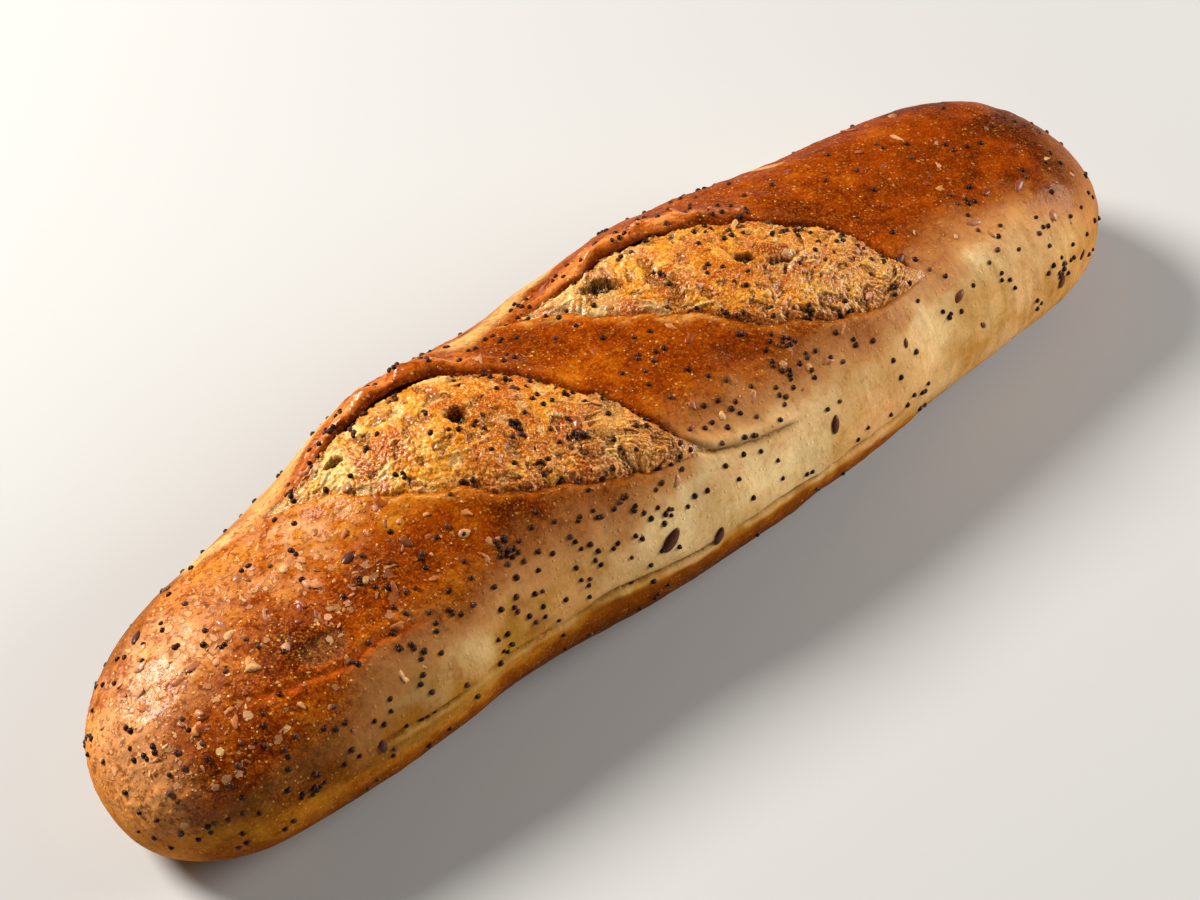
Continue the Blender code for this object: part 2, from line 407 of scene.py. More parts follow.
def crustSkin(x, angle):
    # the crust's point at x and angle, the way out of it, and the marks that colour it
    point, outward, lengthways, roundways = loafFrame(x, angle)
    arc = (angle - quarterTurn) * loafForm["arcRadius"]
    degrees = np.degrees(angle)
    degrees = np.where(degrees > 270, degrees - 360, degrees)
    r = crustRelief
    fade = fadeToPale(x, degrees, point)
    top = 1 - ease(fade, 0.1, 0.85)
    far = ease(x, 55.0, 95.0)
    near = 1 - ease(x, -92.0, -48.0)

    # swellings and blisters, most of them on the browned top and at the near end
    height = layered(point, *r["lumps"]) + layered(point, r["smallLumps"]) * (0.4 + 0.6 * top)
    blister = blistersOn(point) * (0.10 + 0.90 * top) * mixed(0.60 + 0.40 * near, 0.36, far)
    height = height + blister
    level = r["foldLevel"] + r["foldSlope"] * x
    onRim = ease(level - point[..., 2], 1.5, 5.0) * (fade > 0.6)
    lowEnd = (1 - ease(x + 4.0 * lumps(point, 8.0, 24), -106, -74)) * (point[..., 2] > 1.0)
    blistered = (0.06 + 0.94 * top) * mixed(0.90 + 0.40 * near, 0.62, far)
    blistered = np.maximum(blistered, np.maximum(0.55 * onRim, 0.65 * lowEnd))

    # the fold along both flanks with its rolled lower edge
    belowFold = level + layered(point, (0.9, 14.0, 41), (0.25, 3.0, 42)) - point[..., 2]
    folded = ease(x, -96.0, -74.0) * (1 - ease(x, 28.0, 62.0)) * ease(np.abs(np.cos(angle)), 0.5, 0.85)
    uneven = 0.65 + 0.55 * lumps(point * lengthwaysOnly, 9.0, 43) + 0.25 * lumps(point, 2.4, 46)
    foldShare = folded * np.clip(uneven, 0.15, 1.0)
    height = height - r["foldDepth"] * bell(belowFold, r["foldWidth"]) * folded * np.clip(uneven, 0.15, 1.2)
    height = height + r["foldRoll"] * bell(belowFold - r["lipAway"], 1.2) * folded * uneven

    # tear line, crease past the near slash, and the sunken blister
    tearGap, tearAlong = lineDistance(x, arc, tearLine)
    tearGap = tearGap + layered(point, (0.9, 4.0, 47), (0.4, 1.7, 48))
    torn = np.sin(math.pi * np.clip(tearAlong, 0.02, 0.98)) ** 0.5
    creaseGap, creaseAlong = lineDistance(x, arc, creaseLine)
    creased = ease(creaseAlong, 0.0, 0.12) * (1 - ease(creaseAlong, 0.75, 1.0))
    height = height + groove(tearGap, r["tear"]) * torn + groove(creaseGap, r["crease"]) * creased
    nearCrease = creased * np.exp(-np.abs(creaseGap)) > foldShare * np.exp(-np.abs(belowFold))
    sunk = sunkenBlister
    gap = np.hypot((x - sunk["x"]) / sunk["long"], (arc - sunk["arc"]) / sunk["wide"])
    inBlister = 1 - ease(gap + layered(point, (0.22, 4.0, 44), (0.08, 1.6, 45)), 0.70, 1.08)
    height = mixed(height, 0.12 * lumps(point, 3.0, 46) - sunk["depth"], inBlister)

    # fine wrinkles round the pale sides, most at the far end
    ribs = np.stack([x / 1.3, arc / 11.0, 0 * x], axis=-1)
    height = height + r["wrinkle"] * lumps(ribs, 1.0, 51) * (1 - top) * (0.5 + far)

    # the slashes
    moved = 0.0
    slashMarks = []
    aboveBase = np.sin(angle) > 0
    for slash in slashes:
        rise, push, reach, place = slashCut(slash, x, arc)
        height = height * (1 - 0.8 * reach * aboveBase) + np.where(aboveBase, rise, 0.0)
        _, pastEar, toLip, lift = place
        onEar = bell(pastEar + 0.5, 3.2) * lift * (toLip > 0) * aboveBase
        height = height + layered(point, *r["earLumps"]) * onEar
        across = slashRun(slash)[2]
        moved = moved + (push * aboveBase)[..., None] * (across[0] * lengthways + across[1] * roundways)
        slashMarks.append(place)
    point = point + outward * height[..., None] + moved
    point[..., 2] = onFloor(point[..., 2])
    marks = {
        "x": x, "arc": arc, "degrees": degrees, "top": top, "fade": fade, "far": far, "sunk": inBlister,
        "blister": blister, "blistered": blistered, "belowFold": belowFold, "folded": folded,
        "slashes": slashMarks,
        "tear": bell(tearGap - 0.2, 1.3) * torn, "crease": bell(creaseGap, 0.8) * creased,
        "foldGap": np.where(nearCrease, creaseGap, belowFold),
        "foldShare": np.where(nearCrease, creased, foldShare),
        "tearGap": tearGap, "tearShare": np.sin(math.pi * np.clip(tearAlong, 0, 1)) ** 0.7,
    }
    return point, outward, marks


crustPaint = {
    # the browned skin, from the lightest baked to the darkest
    "browned": [(0.00, paint(206, 126, 30)), (0.25, paint(178, 86, 3)), (0.50, paint(146, 56, 0)),
                (0.75, paint(116, 39, 0)), (1.00, paint(80, 24, 0))],
    "redder": paint(150, 52, 0),
    # and on its way down to the pale sides
    "reddish": paint(160, 88, 34), "tan": paint(196, 127, 70), "lightTan": paint(220, 158, 94),
    "khaki": paint(188, 132, 46), "cream": paint(255, 220, 158), "peach": paint(240, 180, 118),
    "sideGolden": paint(146, 74, 3), "sideDark": paint(96, 44, 0),
    "rimGolden": paint(200, 128, 30), "rim": paint(150, 76, 4), "rimDark": paint(98, 42, 0),
    "base": paint(168, 108, 50), "tear": paint(170, 78, 18), "sunk": paint(128, 84, 50),
    # the ear's light tone is partly a painted highlight on its crest, and its under tone partly painted shade
    # below its edge
    "ear": paint(200, 94, 22), "earDeep": paint(150, 60, 2), "earLight": paint(242, 148, 76),
    "earUnder": paint(108, 36, 2), "earPale": paint(222, 172, 100),
    # the near dome's tone is partly a painted highlight
    "dome": paint(242, 176, 122), "tip": paint(214, 132, 46), "toe": paint(190, 124, 34),
    "torn": paint(214, 120, 28), "tornPale": paint(250, 192, 104), "crumb": paint(150, 84, 18),
    # the crevice tone is painted shade deep in the slashes, and the fold tone painted shade along the creases
    "crevice": paint(60, 24, 5), "fold": paint(116, 74, 24),
}

# patches baked more or less than the skin round them: x, reach, degrees, reach, how much
bakedPatches = [(-86, 24, 110, 13, 0.56), (58, 18, 92, 14, 0.30), (-50, 17, 94, 13, -0.28),
                (112, 14, 86, 14, 0.30), (-76, 11, 63, 12, -0.34), (-20, 12, 84, 10, 0.28),
                (-48, 10, 114, 8, 0.16), (13, 13, 111, 11, 0.18), (-72, 9, 100, 8, 0.15),
                (-107, 10, 134, 11, 0.24)]

# how far the skin is baked along the loaf, and how much of the side is cream and peach
bakedAlong = np.array([(-130, 0.62), (-112, 0.42), (-96, 0.28), (-78, 0.32), (-60, 0.36), (-40, 0.50),
                       (-20, 0.56), (0, 0.50), (20, 0.48), (40, 0.56), (60, 0.64), (80, 0.62),
                       (100, 0.68), (120, 0.90), (130, 0.95)])
creamAlong = np.array([(-95, 0.0), (-60, 0.05), (-40, 0.12), (-8, 0.90), (10, 1.0), (24, 0.85),
                       (40, 0.60), (60, 0.66), (80, 0.70), (100, 0.26), (120, 0.0)])
peachAlong = np.array([(-60, 0.15), (0, 0.2), (40, 0.35), (60, 0.55), (110, 0.6)])

# how many mm below the fold the browned rim starts
rimBelowFold = np.array([(-110, 1.0), (-96, 3.0), (-80, 5.6), (-60, 3.4), (-45, 1.2), (-25, 0.6),
                         (0, 0.6), (20, 1.0), (40, 2.4), (60, 5.0), (80, 7.0), (110, 6.6)])

# lines of (x, arc) along the pale flanks behind the ears, and how far they reach
paleFlanks = [([(-91, -32), (-79, -26.5), (-69, -30), (-58, -34), (-46, -37)], 4.6),
              ([(-22, -25), (-12, -26.5), (-2, -31), (10, -33.5)], 4.4),
              ([(64, -31), (67, -26)], 1.4)]


def rampColour(value, stops):
    # colours between (value, colour) stops
    spots = [spot for spot, _ in stops]
    return np.stack([np.interp(value, spots, [c[k] for _, c in stops]) for k in range(3)], axis=-1)


def brownedTone(point, marks, domed):
    # the browned skin, with the near dome painted paler, partly as a painted highlight, and a mottled patch
    # of that tone behind it
    x, degrees, c = marks["x"], marks["degrees"], crustPaint
    baked = tableAt(x, bakedAlong) + layered(point, (0.17, 13.0, 71), (0.17, 5.0, 72), (0.13, 2.0, 73))
    baked = baked - 0.8 * marks["blister"] - 0.16 * bell(degrees - 62, 13) * marks["far"]
    for middle, reach, facing, spread, more in bakedPatches:
        baked = baked + more * bell(x - middle, reach) * bell(degrees - facing, spread)
    onDome = domed * (0.80 + layered(point, (0.55, 3.6, 84), (0.40, 1.6, 85)))
    behindDome = bell(x + 78, 11) * bell(degrees - 74, 17) * (0.4 + 0.9 * lumps(point, 2.2, 112))
    return laid(rampColour(np.clip(baked, 0, 1), c["browned"]), c,
                ("redder", 0.2 * ease(lumps(point, 8.0, 89), 0.0, 0.7)),
                ("dome", np.minimum(onDome, 0.92)), ("dome", np.minimum(behindDome, 0.8)))


def paleTone(point, marks):
    # the pale side: cream in the middle, peach to the far end, spotted near the near end
    x, degrees, c = marks["x"], marks["degrees"], crustPaint
    creamy = mixed(0.6, tableAt(x, creamAlong), ease(degrees, 60, 100)) - 0.35 * ease(degrees, 150, 178)
    creamy = creamy + layered(point, (0.34, 15.0, 76), (0.24, 6.0, 77), (0.1, 2.4, 98))
    peachy = tableAt(x, peachAlong) + layered(point, (0.5, 13.0, 78), (0.25, 4.0, 99))
    spots = layered(point, (1.0, 4.4, 109), (0.7, 1.9, 110))
    return laid(c["khaki"], c, ("cream", creamy), ("peach", 0.8 * np.clip(peachy, 0, 1)),
                ("reddish", 0.5 * ease(spots, 0.3, 1.2) * (1 - ease(x, -48, -20))))


def crustTones(point, marks):
    # colour and gloss of the crust at each point
    c = crustPaint
    x, degrees, fade = marks["x"], marks["degrees"], marks["fade"]
    upper = ease(point[..., 2] + 2.5 * lumps(point, 6.0, 111), 20, 38)
    # the near dome, whose paler tone is partly a painted highlight
    domed = bell(x + 115, 18) * mixed(bell(degrees - 72, 25), upper, ease(-x, 115, 126))
    browned = brownedTone(point, marks, domed)

    # from browned to pale, through reddish and tan, and golden brown round both ends
    golden = 0.55 + layered(point, (0.5, 9.0, 79), (0.3, 3.0, 80))
    golden = dyed(c["sideDark"], c["sideGolden"], np.clip(golden, 0, 1))
    ends = np.maximum(1 - ease(x + 5 * lumps(point, 12.0, 81), -104, -58), 0.72 * ease(x, 104, 128))
    colour = dyed(browned, c["reddish"], 0.8 * ease(fade, 0.02, 0.34) * (1 - 0.7 * ends))
    colour = dyed(colour, dyed(c["tan"], golden, 0.8 * ends), ease(fade, 0.22, 0.60))
    colour = dyed(colour, dyed(c["lightTan"], golden, 0.9 * ends), ease(fade, 0.48, 0.84))
    colour = dyed(colour, dyed(paleTone(point, marks), golden, ends), ease(fade, 0.72, 1.0))

    # rim under the fold, darker towards the base, then the base itself
    down = marks["belowFold"] - tableAt(x, rimBelowFold) + layered(point, (1.1, 5.0, 74), (0.8, 2.0, 82))
    down = down * (0.3 + 0.7 * ease(x, -108, -84))
    rim = [(0.0, c["rimGolden"]), (3.2, c["rim"]), (8.5, c["rimDark"])]
    rim = rampColour(down + 1.2 * lumps(point, 2.6, 102), rim)
    colour = dyed(colour, rim, ease(down, -0.8, 1.4) * (fade > 0.5))
    under = ease(-point[..., 2], -0.9, -0.1)
    colour = dyed(colour, c["base"] * (0.85 + 0.25 * lumps(point, 6.0, 75))[..., None], under)
    # painted shade along the fold's crease, broken along its length
    broken = np.clip(0.65 + 0.5 * lumps(point * lengthwaysOnly, 7.0, 101), 0.1, 1)
    colour = laid(colour, c, ("fold", 0.8 * bell(marks["belowFold"], 0.5) * marks["folded"] * broken))
    # the near tip in its own tone, paler on its upper part in the near dome's tone, which is partly a painted
    # highlight
    nearTip = 0.75 * ease(-x, 117, 127) + 0.3 * lumps(point, 6.0, 86) * ease(-x, 112, 122)
    colour = dyed(colour, dyed(c["tip"], c["dome"], upper), np.clip(nearTip, 0, 1) * (1 - under))
    toe = 0.7 * ease(-x, 90, 108) * bell(point[..., 2] - 3.5, 3.5) * (1 - under)
    colour = laid(colour, c, ("toe", toe), ("tear", 0.95 * marks["tear"]), ("sunk", 0.55 * marks["sunk"]),
                  # painted shade along the crease past the near slash
                  ("fold", 0.6 * marks["crease"]))

    # pale flanks behind the ears
    for line, reach in paleFlanks:
        gap = np.abs(lineDistance(x, marks["arc"], line)[0]) + layered(point, (1.1, 5.0, 87), (0.5, 2.0, 88))
        share = (1 - ease(gap, 0.3 * reach, 1.2 * reach)) * (0.86 + 0.25 * lumps(point, 3.0, 94))
        tone = dyed(c["earPale"], c["peach"], ease(lumps(point, 6.0, 95), -0.2, 0.8))
        colour = dyed(colour, tone, np.clip(share, 0, 0.95))

    # torn edges run on into the skin in front of the slashes
    tornTone = dyed(c["torn"], c["tornPale"], ease(lumps(point, 1.2, 105), -0.1, 0.7))
    spread = np.maximum(2.6 + layered(point, (1.6, 4.0, 103), (0.9, 1.8, 104)), 0.6)
    for u, _, toLip, _ in marks["slashes"]:
        edge = (1 - ease(-toLip, 0.0, spread)) * (toLip < 0) * (u > 0.02) * (u < 0.98)
        colour = dyed(colour, tornTone, edge * (0.7 - 0.45 * ease(u, 0.35, 0.6)))

    gloss = (0.06 + 0.30 * marks["top"] + 0.12 * domed) * (0.35 + 0.65 * ease(degrees, 48, 84))
    gloss = gloss * (1 - 0.8 * (fade > 0.5) * ease(down, 0.0, 2.0))
    for place in marks["slashes"]:
        colour, gloss = earTones(point, place, colour, gloss)
    return np.clip(colour, 0, 1), np.clip(gloss, 0, 1)


def earTones(point, place, colour, gloss):
    # an ear with its crest painted light, partly as a painted highlight, a dark band under its edge, partly
    # painted shade, and the hidden walls of its slash, with painted shade deep in the crevice
    c = crustPaint
    u, pastEar, toLip, lift = place
    opening = (toLip > 0) & (u > 0) & (u < 1)
    onEar = bell(pastEar - 0.6, 2.8) * lift * opening
    tone = dyed(c["ear"], c["earDeep"], ease(u + 0.12 * lumps(point, 5.0, 83), 0.32, 0.62))
    colour = dyed(colour, tone, np.clip((0.65 + 0.5 * lumps(point, 1.9, 106)) * onEar, 0, 1))
    waving = pastEar + 0.8 * lumps(point, 5.0, 96)
    streaks = lumps(np.stack([u * 14 + 0.3 * pastEar, waving / 1.3, 0 * u], axis=-1), 1.0, 97)
    crest = 0.55 + 1.0 * streaks + layered(point, (0.5, 4.0, 93), (0.7, 1.3, 108))
    crest = crest * bell(pastEar + 0.9, 2.0) * lift * opening * (1 - 0.8 * ease(u, 0.45, 0.70))
    # a dark band under the ear's edge: deeper-baked colour and painted shade
    beneath = np.clip(0.3 + 0.7 * lift + 0.4 * lumps(point, 3.0, 107), 0, 1)
    beneath = beneath * bell(pastEar - 1.9, 0.7 + 0.4 * lift) * opening
    # the hidden walls take the crumb's tone, with painted shade deep in the crevice
    inside = ease(pastEar, 1.9, 3.4) * ease(toLip, -0.2, 1.0) * (u > 0) * (u < 1)
    colour = laid(colour, c, ("earLight", np.minimum(0.74 * crest, 0.9)),
                  ("earUnder", 0.7 * onEar * ease(-streaks, 0.25, 0.8)), ("earUnder", 0.9 * beneath),
                  ("crumb", inside), ("crevice", 0.8 * inside * bell(pastEar - 4.5, 2.5)))
    return colour, np.maximum(gloss, onEar) * (1 - 0.7 * inside)


crustMesh = {
    "rings": 420, "points": 236,
    "lean": 46.0,               # rings lean along the slashes
    "denseFrom": 8.0, "denseTo": 200.0, "densePoints": 190,     # degrees where the skin is seen most
}
crustMarks = ("gloss", "blistered", "foldGap", "foldShare", "tearGap", "tearShare")     # read by its finish


def evenStations(count):
    # places along the loaf that are the same way apart over its skin
    t = np.linspace(-1, 1, 4001)
    narrowing, cap = closing(t)
    halfWidth = loafForm["halfWidth"] * narrowing * cap
    steps = np.hypot(np.diff(t) * loafForm["length"] / 2, np.diff(halfWidth))
    length = np.concatenate([[0], np.cumsum(steps)])
    return np.interp(np.arange(1, count + 1) / (count + 1) * length[-1], length, t)


def addToScene(name, data):
    thing = bpy.data.objects.new(name, data)
    bpy.context.scene.collection.objects.link(thing)
    return thing


def makePiece(name, verts, faces, colours, values=None):
    # a mesh object from points in mm, with a colour and named values at its points
    mesh = bpy.data.meshes.new(name)
    mesh.from_pydata((verts * toMetres).tolist(), [], faces)
    mesh.shade_smooth()
    layer = mesh.color_attributes.new("tone", "FLOAT_COLOR", "POINT")
    layer.data.foreach_set("color", np.column_stack([colours, np.ones(len(colours))]).ravel())
    for key, numbers in (values or {}).items():
        mesh.attributes.new(key, "FLOAT", "POINT").data.foreach_set("value", np.array(numbers, float))
    return addToScene(name, mesh)


def gridFaces(rows, columns, wrap, offset=0):
    # four-sided faces between the rows of a grid of points
    r, c = np.meshgrid(np.arange(rows - 1), np.arange(columns if wrap else columns - 1), indexing="ij")
    after = (c + 1) % columns
    here, below = offset + r * columns, offset + (r + 1) * columns
    return np.stack([here + c, here + after, below + after, below + c], axis=-1).reshape(-1, 4).tolist()


def crustRows(x, angle):
    # points, colours and the values that the mesh carries, one row for each place on the skin
    point, _, marks = crustSkin(x, angle)
    colour, marks["gloss"] = crustTones(point, marks)
    values = np.stack([np.clip(marks[name], -9, 9) for name in crustMarks], axis=-1)
    return point.reshape(-1, 3), colour.reshape(-1, 3), values.reshape(-1, len(crustMarks))


def buildCrust():
    s, half = crustMesh, loafForm["length"] / 2
    dense = np.linspace(s["denseFrom"], s["denseTo"], s["densePoints"], endpoint=False)
    sparse = np.linspace(s["denseTo"], s["denseFrom"] + 360, s["points"] - s["densePoints"], endpoint=False)
    angle = np.radians(np.concatenate([dense, sparse])) % (2 * math.pi)
    t, angle = np.meshgrid(evenStations(s["rings"]), angle, indexing="ij")
    parts = [crustRows(t * half - s["lean"] * (1 - t * t) * np.cos(angle), angle)]
    for side in (-1, 1):
        parts.append(crustRows(np.array([side * half]), np.array([quarterTurn])))
    verts, colours, values = map(np.vstack, zip(*parts))

    # rings of faces, closed by a fan round each tip
    rows, columns = t.shape
    faces = gridFaces(rows, columns, True)
    nearTip, farTip = rows * columns, rows * columns + 1
    for c in range(columns):
        after = (c + 1) % columns
        faces.append([nearTip, after, c])
        faces.append([farTip, nearTip - columns + c, nearTip - columns + after])
    return makePiece("crust", verts, faces, colours, dict(zip(crustMarks, values.T)))


# the torn blooms
bloomMesh = {"along": 430, "across": 140, "tuckUnderEar": 1.6, "pastLip": 0.25, "skirt": 2.6}
bloomRelief = {
    # heights in mm, then the sizes of the froth and of the streaks
    "broad": 0.66, "middle": 0.30, "froth": 0.24, "fineFroth": 0.24, "streaks": 0.36, "pits": 0.40,
    "grain": 0.12,
    "frothSize": 1.05, "fineSize": 0.56, "streakLong": 7.0, "streakWide": 0.95,
}
# holes: slash, depth, x, arc, long, wide, and degrees turned from lengthways to the front
bloomHoles = [
    (0, 2.8, -38.2, -3.6, 2.8, 2.2, 40),
    (0, 1.6, -27.0, -9.2, 2.2, 0.8, 20),
    (0, 1.8, -21.5, -6.4, 2.4, 1.0, 30),
    (0, 1.5, -17.5, -3.0, 1.3, 1.0, 0),
    (0, 1.8, -60.5, -14.6, 2.4, 1.2, 30),
    (1, 2.6, 7.6, -11.0, 4.5, 2.1, 37),
    (1, 1.8, 33.8, 2.0, 2.6, 1.3, 30),
    (1, 1.2, 39.2, 6.2, 4.2, 1.0, 22),
]
smoothSkin = [(0, -14.0, 14.0, 5.5, 3.2, 0), (1, 4.6, -7.6, 4.4, 1.9, 0)]      # as the holes, without a depth
shinyBubble = {"slash": 1, "height": 0.9, "ellipse": (40.2, 3.2, 4.1, 2.2, 22)}


def fromMiddle(x, arc, middleX, middleArc, long, wide, turned):
    # 0 in the middle of a turned ellipse on the skin, and 1 at its edge
    cosine, sine = math.cos(math.radians(turned)), math.sin(math.radians(turned))
    dx, da = x - middleX, arc - middleArc
    return np.hypot((dx * cosine + da * sine) / long, (da * cosine - dx * sine) / wide)


def tornStreaks(index, u, flow):
    # pale streaks along the slash, which turn steep in the far half of the far slash
    r, seed = bloomRelief, slashes[index]["seed"]
    steep = ease(u + 0.1 * lumps(flow, 9.0, seed + 11), 0.5, 0.7)
    streak = 0.0
    for lean, share in ((0.12, 1 - steep), (0.12 + 1.3 * index, steep)):
        lengthways = (flow[..., 0] - lean * flow[..., 1]) / r["streakLong"]
        sideways = (flow[..., 1] + lean * flow[..., 0]) / (1 + lean) / r["streakWide"]
        strand = lumps(np.stack([lengthways, sideways, 0 * u], axis=-1), 1.0, seed + 9)
        streak = streak + share * (1 - np.abs(strand)) ** 6
    return streak * ease(lumps(flow, 7.0, seed + 10) + 0.5 * bell(u - 0.26, 0.16) + 0.25, 0.0, 0.6)


def bloomSkin(index, u, v):
    # the torn crumb at u along the slash and v across it: point, the way out, and its marks
    slash, r = slashes[index], bloomRelief
    seed = slash["seed"]
    start, along, across, length = slashRun(slash)
    ear, lip = slashEdges(slash, u)
    x = start[0] + along[0] * u * length + across[0] * v
    arc = start[1] + along[1] * u * length + across[1] * v
    point, outward, _, _ = loafFrame(x, arc / loafForm["arcRadius"] + quarterTurn)
    pastEar, toLip = v + ear, lip - v
    width = np.maximum(ear + lip, 0.01)
    opened = ease(width, 1.5, 10.0)
    lift = bell(u - slash["earPeak"], slash["earSpread"])

    # a low crown between the crevice under the ear and the hollows beside the ear and the lip
    flow = np.stack([u * length, v, 0 * u], axis=-1)
    crown = slash["crown"] * np.sin(math.pi * np.clip(pastEar / width, 0, 1)) ** 0.7
    crevice = (0.8 + 2.1 * lift) * (1 + 0.5 * lumps(flow, 5.0, seed + 3))
    crevice = crevice * bell(pastEar, 1.5 + 1.9 * lift * (1 + 0.4 * lumps(flow, 4.0, seed + 16)))
    furrow = 0.6 * bell(pastEar - 1.0, 0.9) * ease(u, 0.3, 0.5) * (0.6 + 0.8 * lumps(flow, 2.6, seed + 4))
    furrow = furrow + 0.5 * bell(toLip, 1.5) * ease(u, 0.25, 0.6)
    base = (crown - crevice - furrow) * opened

    # tearing: froth in a bent flow, streaks, and a few ragged pits, less of it on the smooth skin
    bend = np.stack([lumps(flow, 6.0, seed + 5), lumps(flow, 6.0, seed + 6), 0 * u], axis=-1)
    flow = flow + 1.5 * bend
    broad = r["broad"] * lumps(flow * np.array([0.6, 1, 1]), 8.0, seed + 7)
    broad = broad + r["middle"] * lumps(flow, 4.0, seed + 8)
    near, chance = bubbles(flow, r["frothSize"], seed + 12)
    froth = np.maximum(0, 1 - (near / (0.45 + 0.3 * chance)) ** 2)
    near, chance = bubbles(flow, r["fineSize"], seed + 17)
    fine = np.maximum(0, 1 - (near / 0.62) ** 2) * (0.5 + 0.5 * chance)
    streak = tornStreaks(index, u, flow)
    pit = ease(-layered(flow, (1.0, 2.3, seed + 13), (0.3, 1.0, seed + 14)), 0.42, 0.72)
    smooth = 0.0 * u
    for which, *ellipse in smoothSkin:
        if which == index:
            gap = fromMiddle(x, arc, *ellipse) + 0.15 * lumps(flow, 3.0, seed + 15)
            smooth = np.maximum(smooth, 1 - ease(gap, 0.7, 1.05))
    detail = r["froth"] * froth + r["fineFroth"] * fine + r["streaks"] * streak - r["pits"] * pit
    detail = detail + r["grain"] * lumps(flow, 0.5, seed + 23)
    detail = detail * (1 - 0.7 * smooth) + 0.15 * smooth
    height = base + (0.7 * broad + detail) * ease(pastEar, -0.5, 1.2) * ease(toLip, -0.3, 1.0) * opened

    # holes, and the brown bubble
    hole = 0.0 * u
    for which, deep, *ellipse in bloomHoles:
        if which == index:
            gap = fromMiddle(x, arc, *ellipse) + 0.16 * lumps(flow, 1.6, seed + 25)
            into = 1 - ease(gap, 0.62, 1.0)
            height = height - deep * into
            hole = np.maximum(hole, into)
    shine = 0.0 * u
    if shinyBubble["slash"] == index:
        gap = fromMiddle(x, arc, *shinyBubble["ellipse"])
        dome = shinyBubble["height"] * np.sqrt(np.maximum(0, 1 - np.minimum(gap, 1) ** 2))
        shine = 1 - ease(gap, 0.75, 1.05)
        height = mixed(height, base + dome, shine)
    marks = {"u": u, "x": x, "arc": arc, "pastEar": pastEar, "toLip": toLip, "froth": froth, "fine": fine,
             "streak": streak, "pit": pit, "hole": hole, "shine": shine, "smooth": smooth, "flow": flow,
             "broad": broad, "lift": lift}
    return point + outward * height[..., None], outward, marks


bloomPaint = {
    "deep": paint(186, 86, 4), "honey": paint(240, 146, 26), "gold": paint(232, 152, 34),
    "light": paint(255, 198, 90), "cream": paint(255, 226, 156), "olive": paint(176, 120, 16),
    "rose": paint(206, 128, 104), "tan": paint(228, 170, 94), "smooth": paint(216, 152, 76),
    # the pit, hole and crevice tones are painted shade laid in hollows
    "pit": paint(124, 61, 4), "hole": paint(58, 32, 4), "shine": paint(150, 62, 8),
    "lip": paint(206, 104, 20), "crevice": paint(84, 34, 4),
}


def bloomTones(index, marks):
    # colour of the torn crumb at each point
    c, seed = bloomPaint, slashes[index]["seed"]
    flow, u, pastEar, toLip = (marks[key] for key in ("flow", "u", "pastEar", "toLip"))
    golden = 0.45 + layered(flow, (0.65, 6.5, seed + 31), (0.4, 2.6, seed + 32))
    colour = dyed(c["deep"], dyed(c["honey"], c["gold"], 0.2 + 0.5 * index), np.clip(golden, 0, 1))
    creamy = lumps(flow, 3.4, seed + 44) + 0.45 * bell(u - 0.22, 0.15) - 0.4 * bell(u - 0.46, 0.16)
    olive = ease(lumps(flow, 7.0, seed + 35) - 0.4 * marks["broad"], 0.15, 0.8)
    olive = olive * (1 - 0.6 * ease(u, 0.4, 0.8))
    # tops of the froth and streaks are painted pale, partly as painted highlights, and the gaps between them
    # dark as painted shade
    pale = 0.45 * marks["froth"] + 0.35 * marks["fine"] + 0.12 * bell(u - 0.22, 0.16)
    pale = pale + layered(flow, (0.18, 0.8, seed + 33), (0.30, 3.0, seed + 34))
    streaked = marks["streak"] + 0.3 * pale + 0.4 * bell(pastEar - 3.5, 3.0) * bell(u - 0.2, 0.12)
    tanned = ease(u + 0.08 * lumps(flow, 6.0, seed + 36), 0.58, 0.85) * (0.5 + 0.5 * ease(pale, 0.0, 0.8))
    # a dark band along the ear's edge, painted shade in the furrow there
    band = bell(pastEar - 1.0, 1.0) * ease(u, 0.3, 0.5) * (0.5 + 0.9 * lumps(flow, 2.2, seed + 38))
    farther = ease(u + 0.12 * lumps(flow, 5.0, seed + 39), 0.38, 0.62) * (1 - marks["smooth"])
    besideLip = bell(toLip - 0.8, 1.4) * (1 - ease(u, 0.3, 0.55))
    besideLip = besideLip * ease(lumps(flow, 2.5, seed + 37), -0.3, 0.4)
    # painted shadow of the raised ear on the crumb beside it
    underEarShadow = bell(pastEar - 2.4, 2.0) * marks["lift"] * (0.5 + 0.4 * lumps(flow, 2.0, seed + 43))
    # pits, holes and the crevice under the ear are darkened as painted shade
    colour = laid(colour, c, ("rose", 0.2 * ease(lumps(flow, 3.0, seed + 45), 0.35, 0.8)),
                  ("deep", 0.34 * (1 - index) * bell(u - 0.53, 0.13)),
                  ("cream", (0.5 - 0.22 * index) * ease(creamy, 0.35, 0.95)),
                  ("olive", (0.1 + 0.4 * index) * olive), ("light", 0.8 * ease(pale, 0.32, 0.90)),
                  ("deep", 0.68 * ease(-pale, -0.12, 0.25)), ("cream", 0.85 * ease(streaked, 0.45, 1.0)),
                  ("tan", 0.65 * tanned), ("pit", 0.75 * marks["pit"]), ("pit", 0.9 * band),
                  ("deep", 0.12 * farther),
                  ("smooth", (0.55 + 0.2 * lumps(flow, 2.0, seed + 40)) * marks["smooth"]),
                  ("lip", 0.75 * bell(toLip - 0.3, 1.1) * ease(u, 0.3, 0.5)), ("cream", 0.7 * besideLip),
                  ("crevice", 0.9 * bell(pastEar - 0.2, 0.9 + 1.6 * marks["lift"])),
                  ("pit", underEarShadow), ("hole", marks["hole"]), ("shine", marks["shine"]))
    return np.clip(colour, 0, 1)


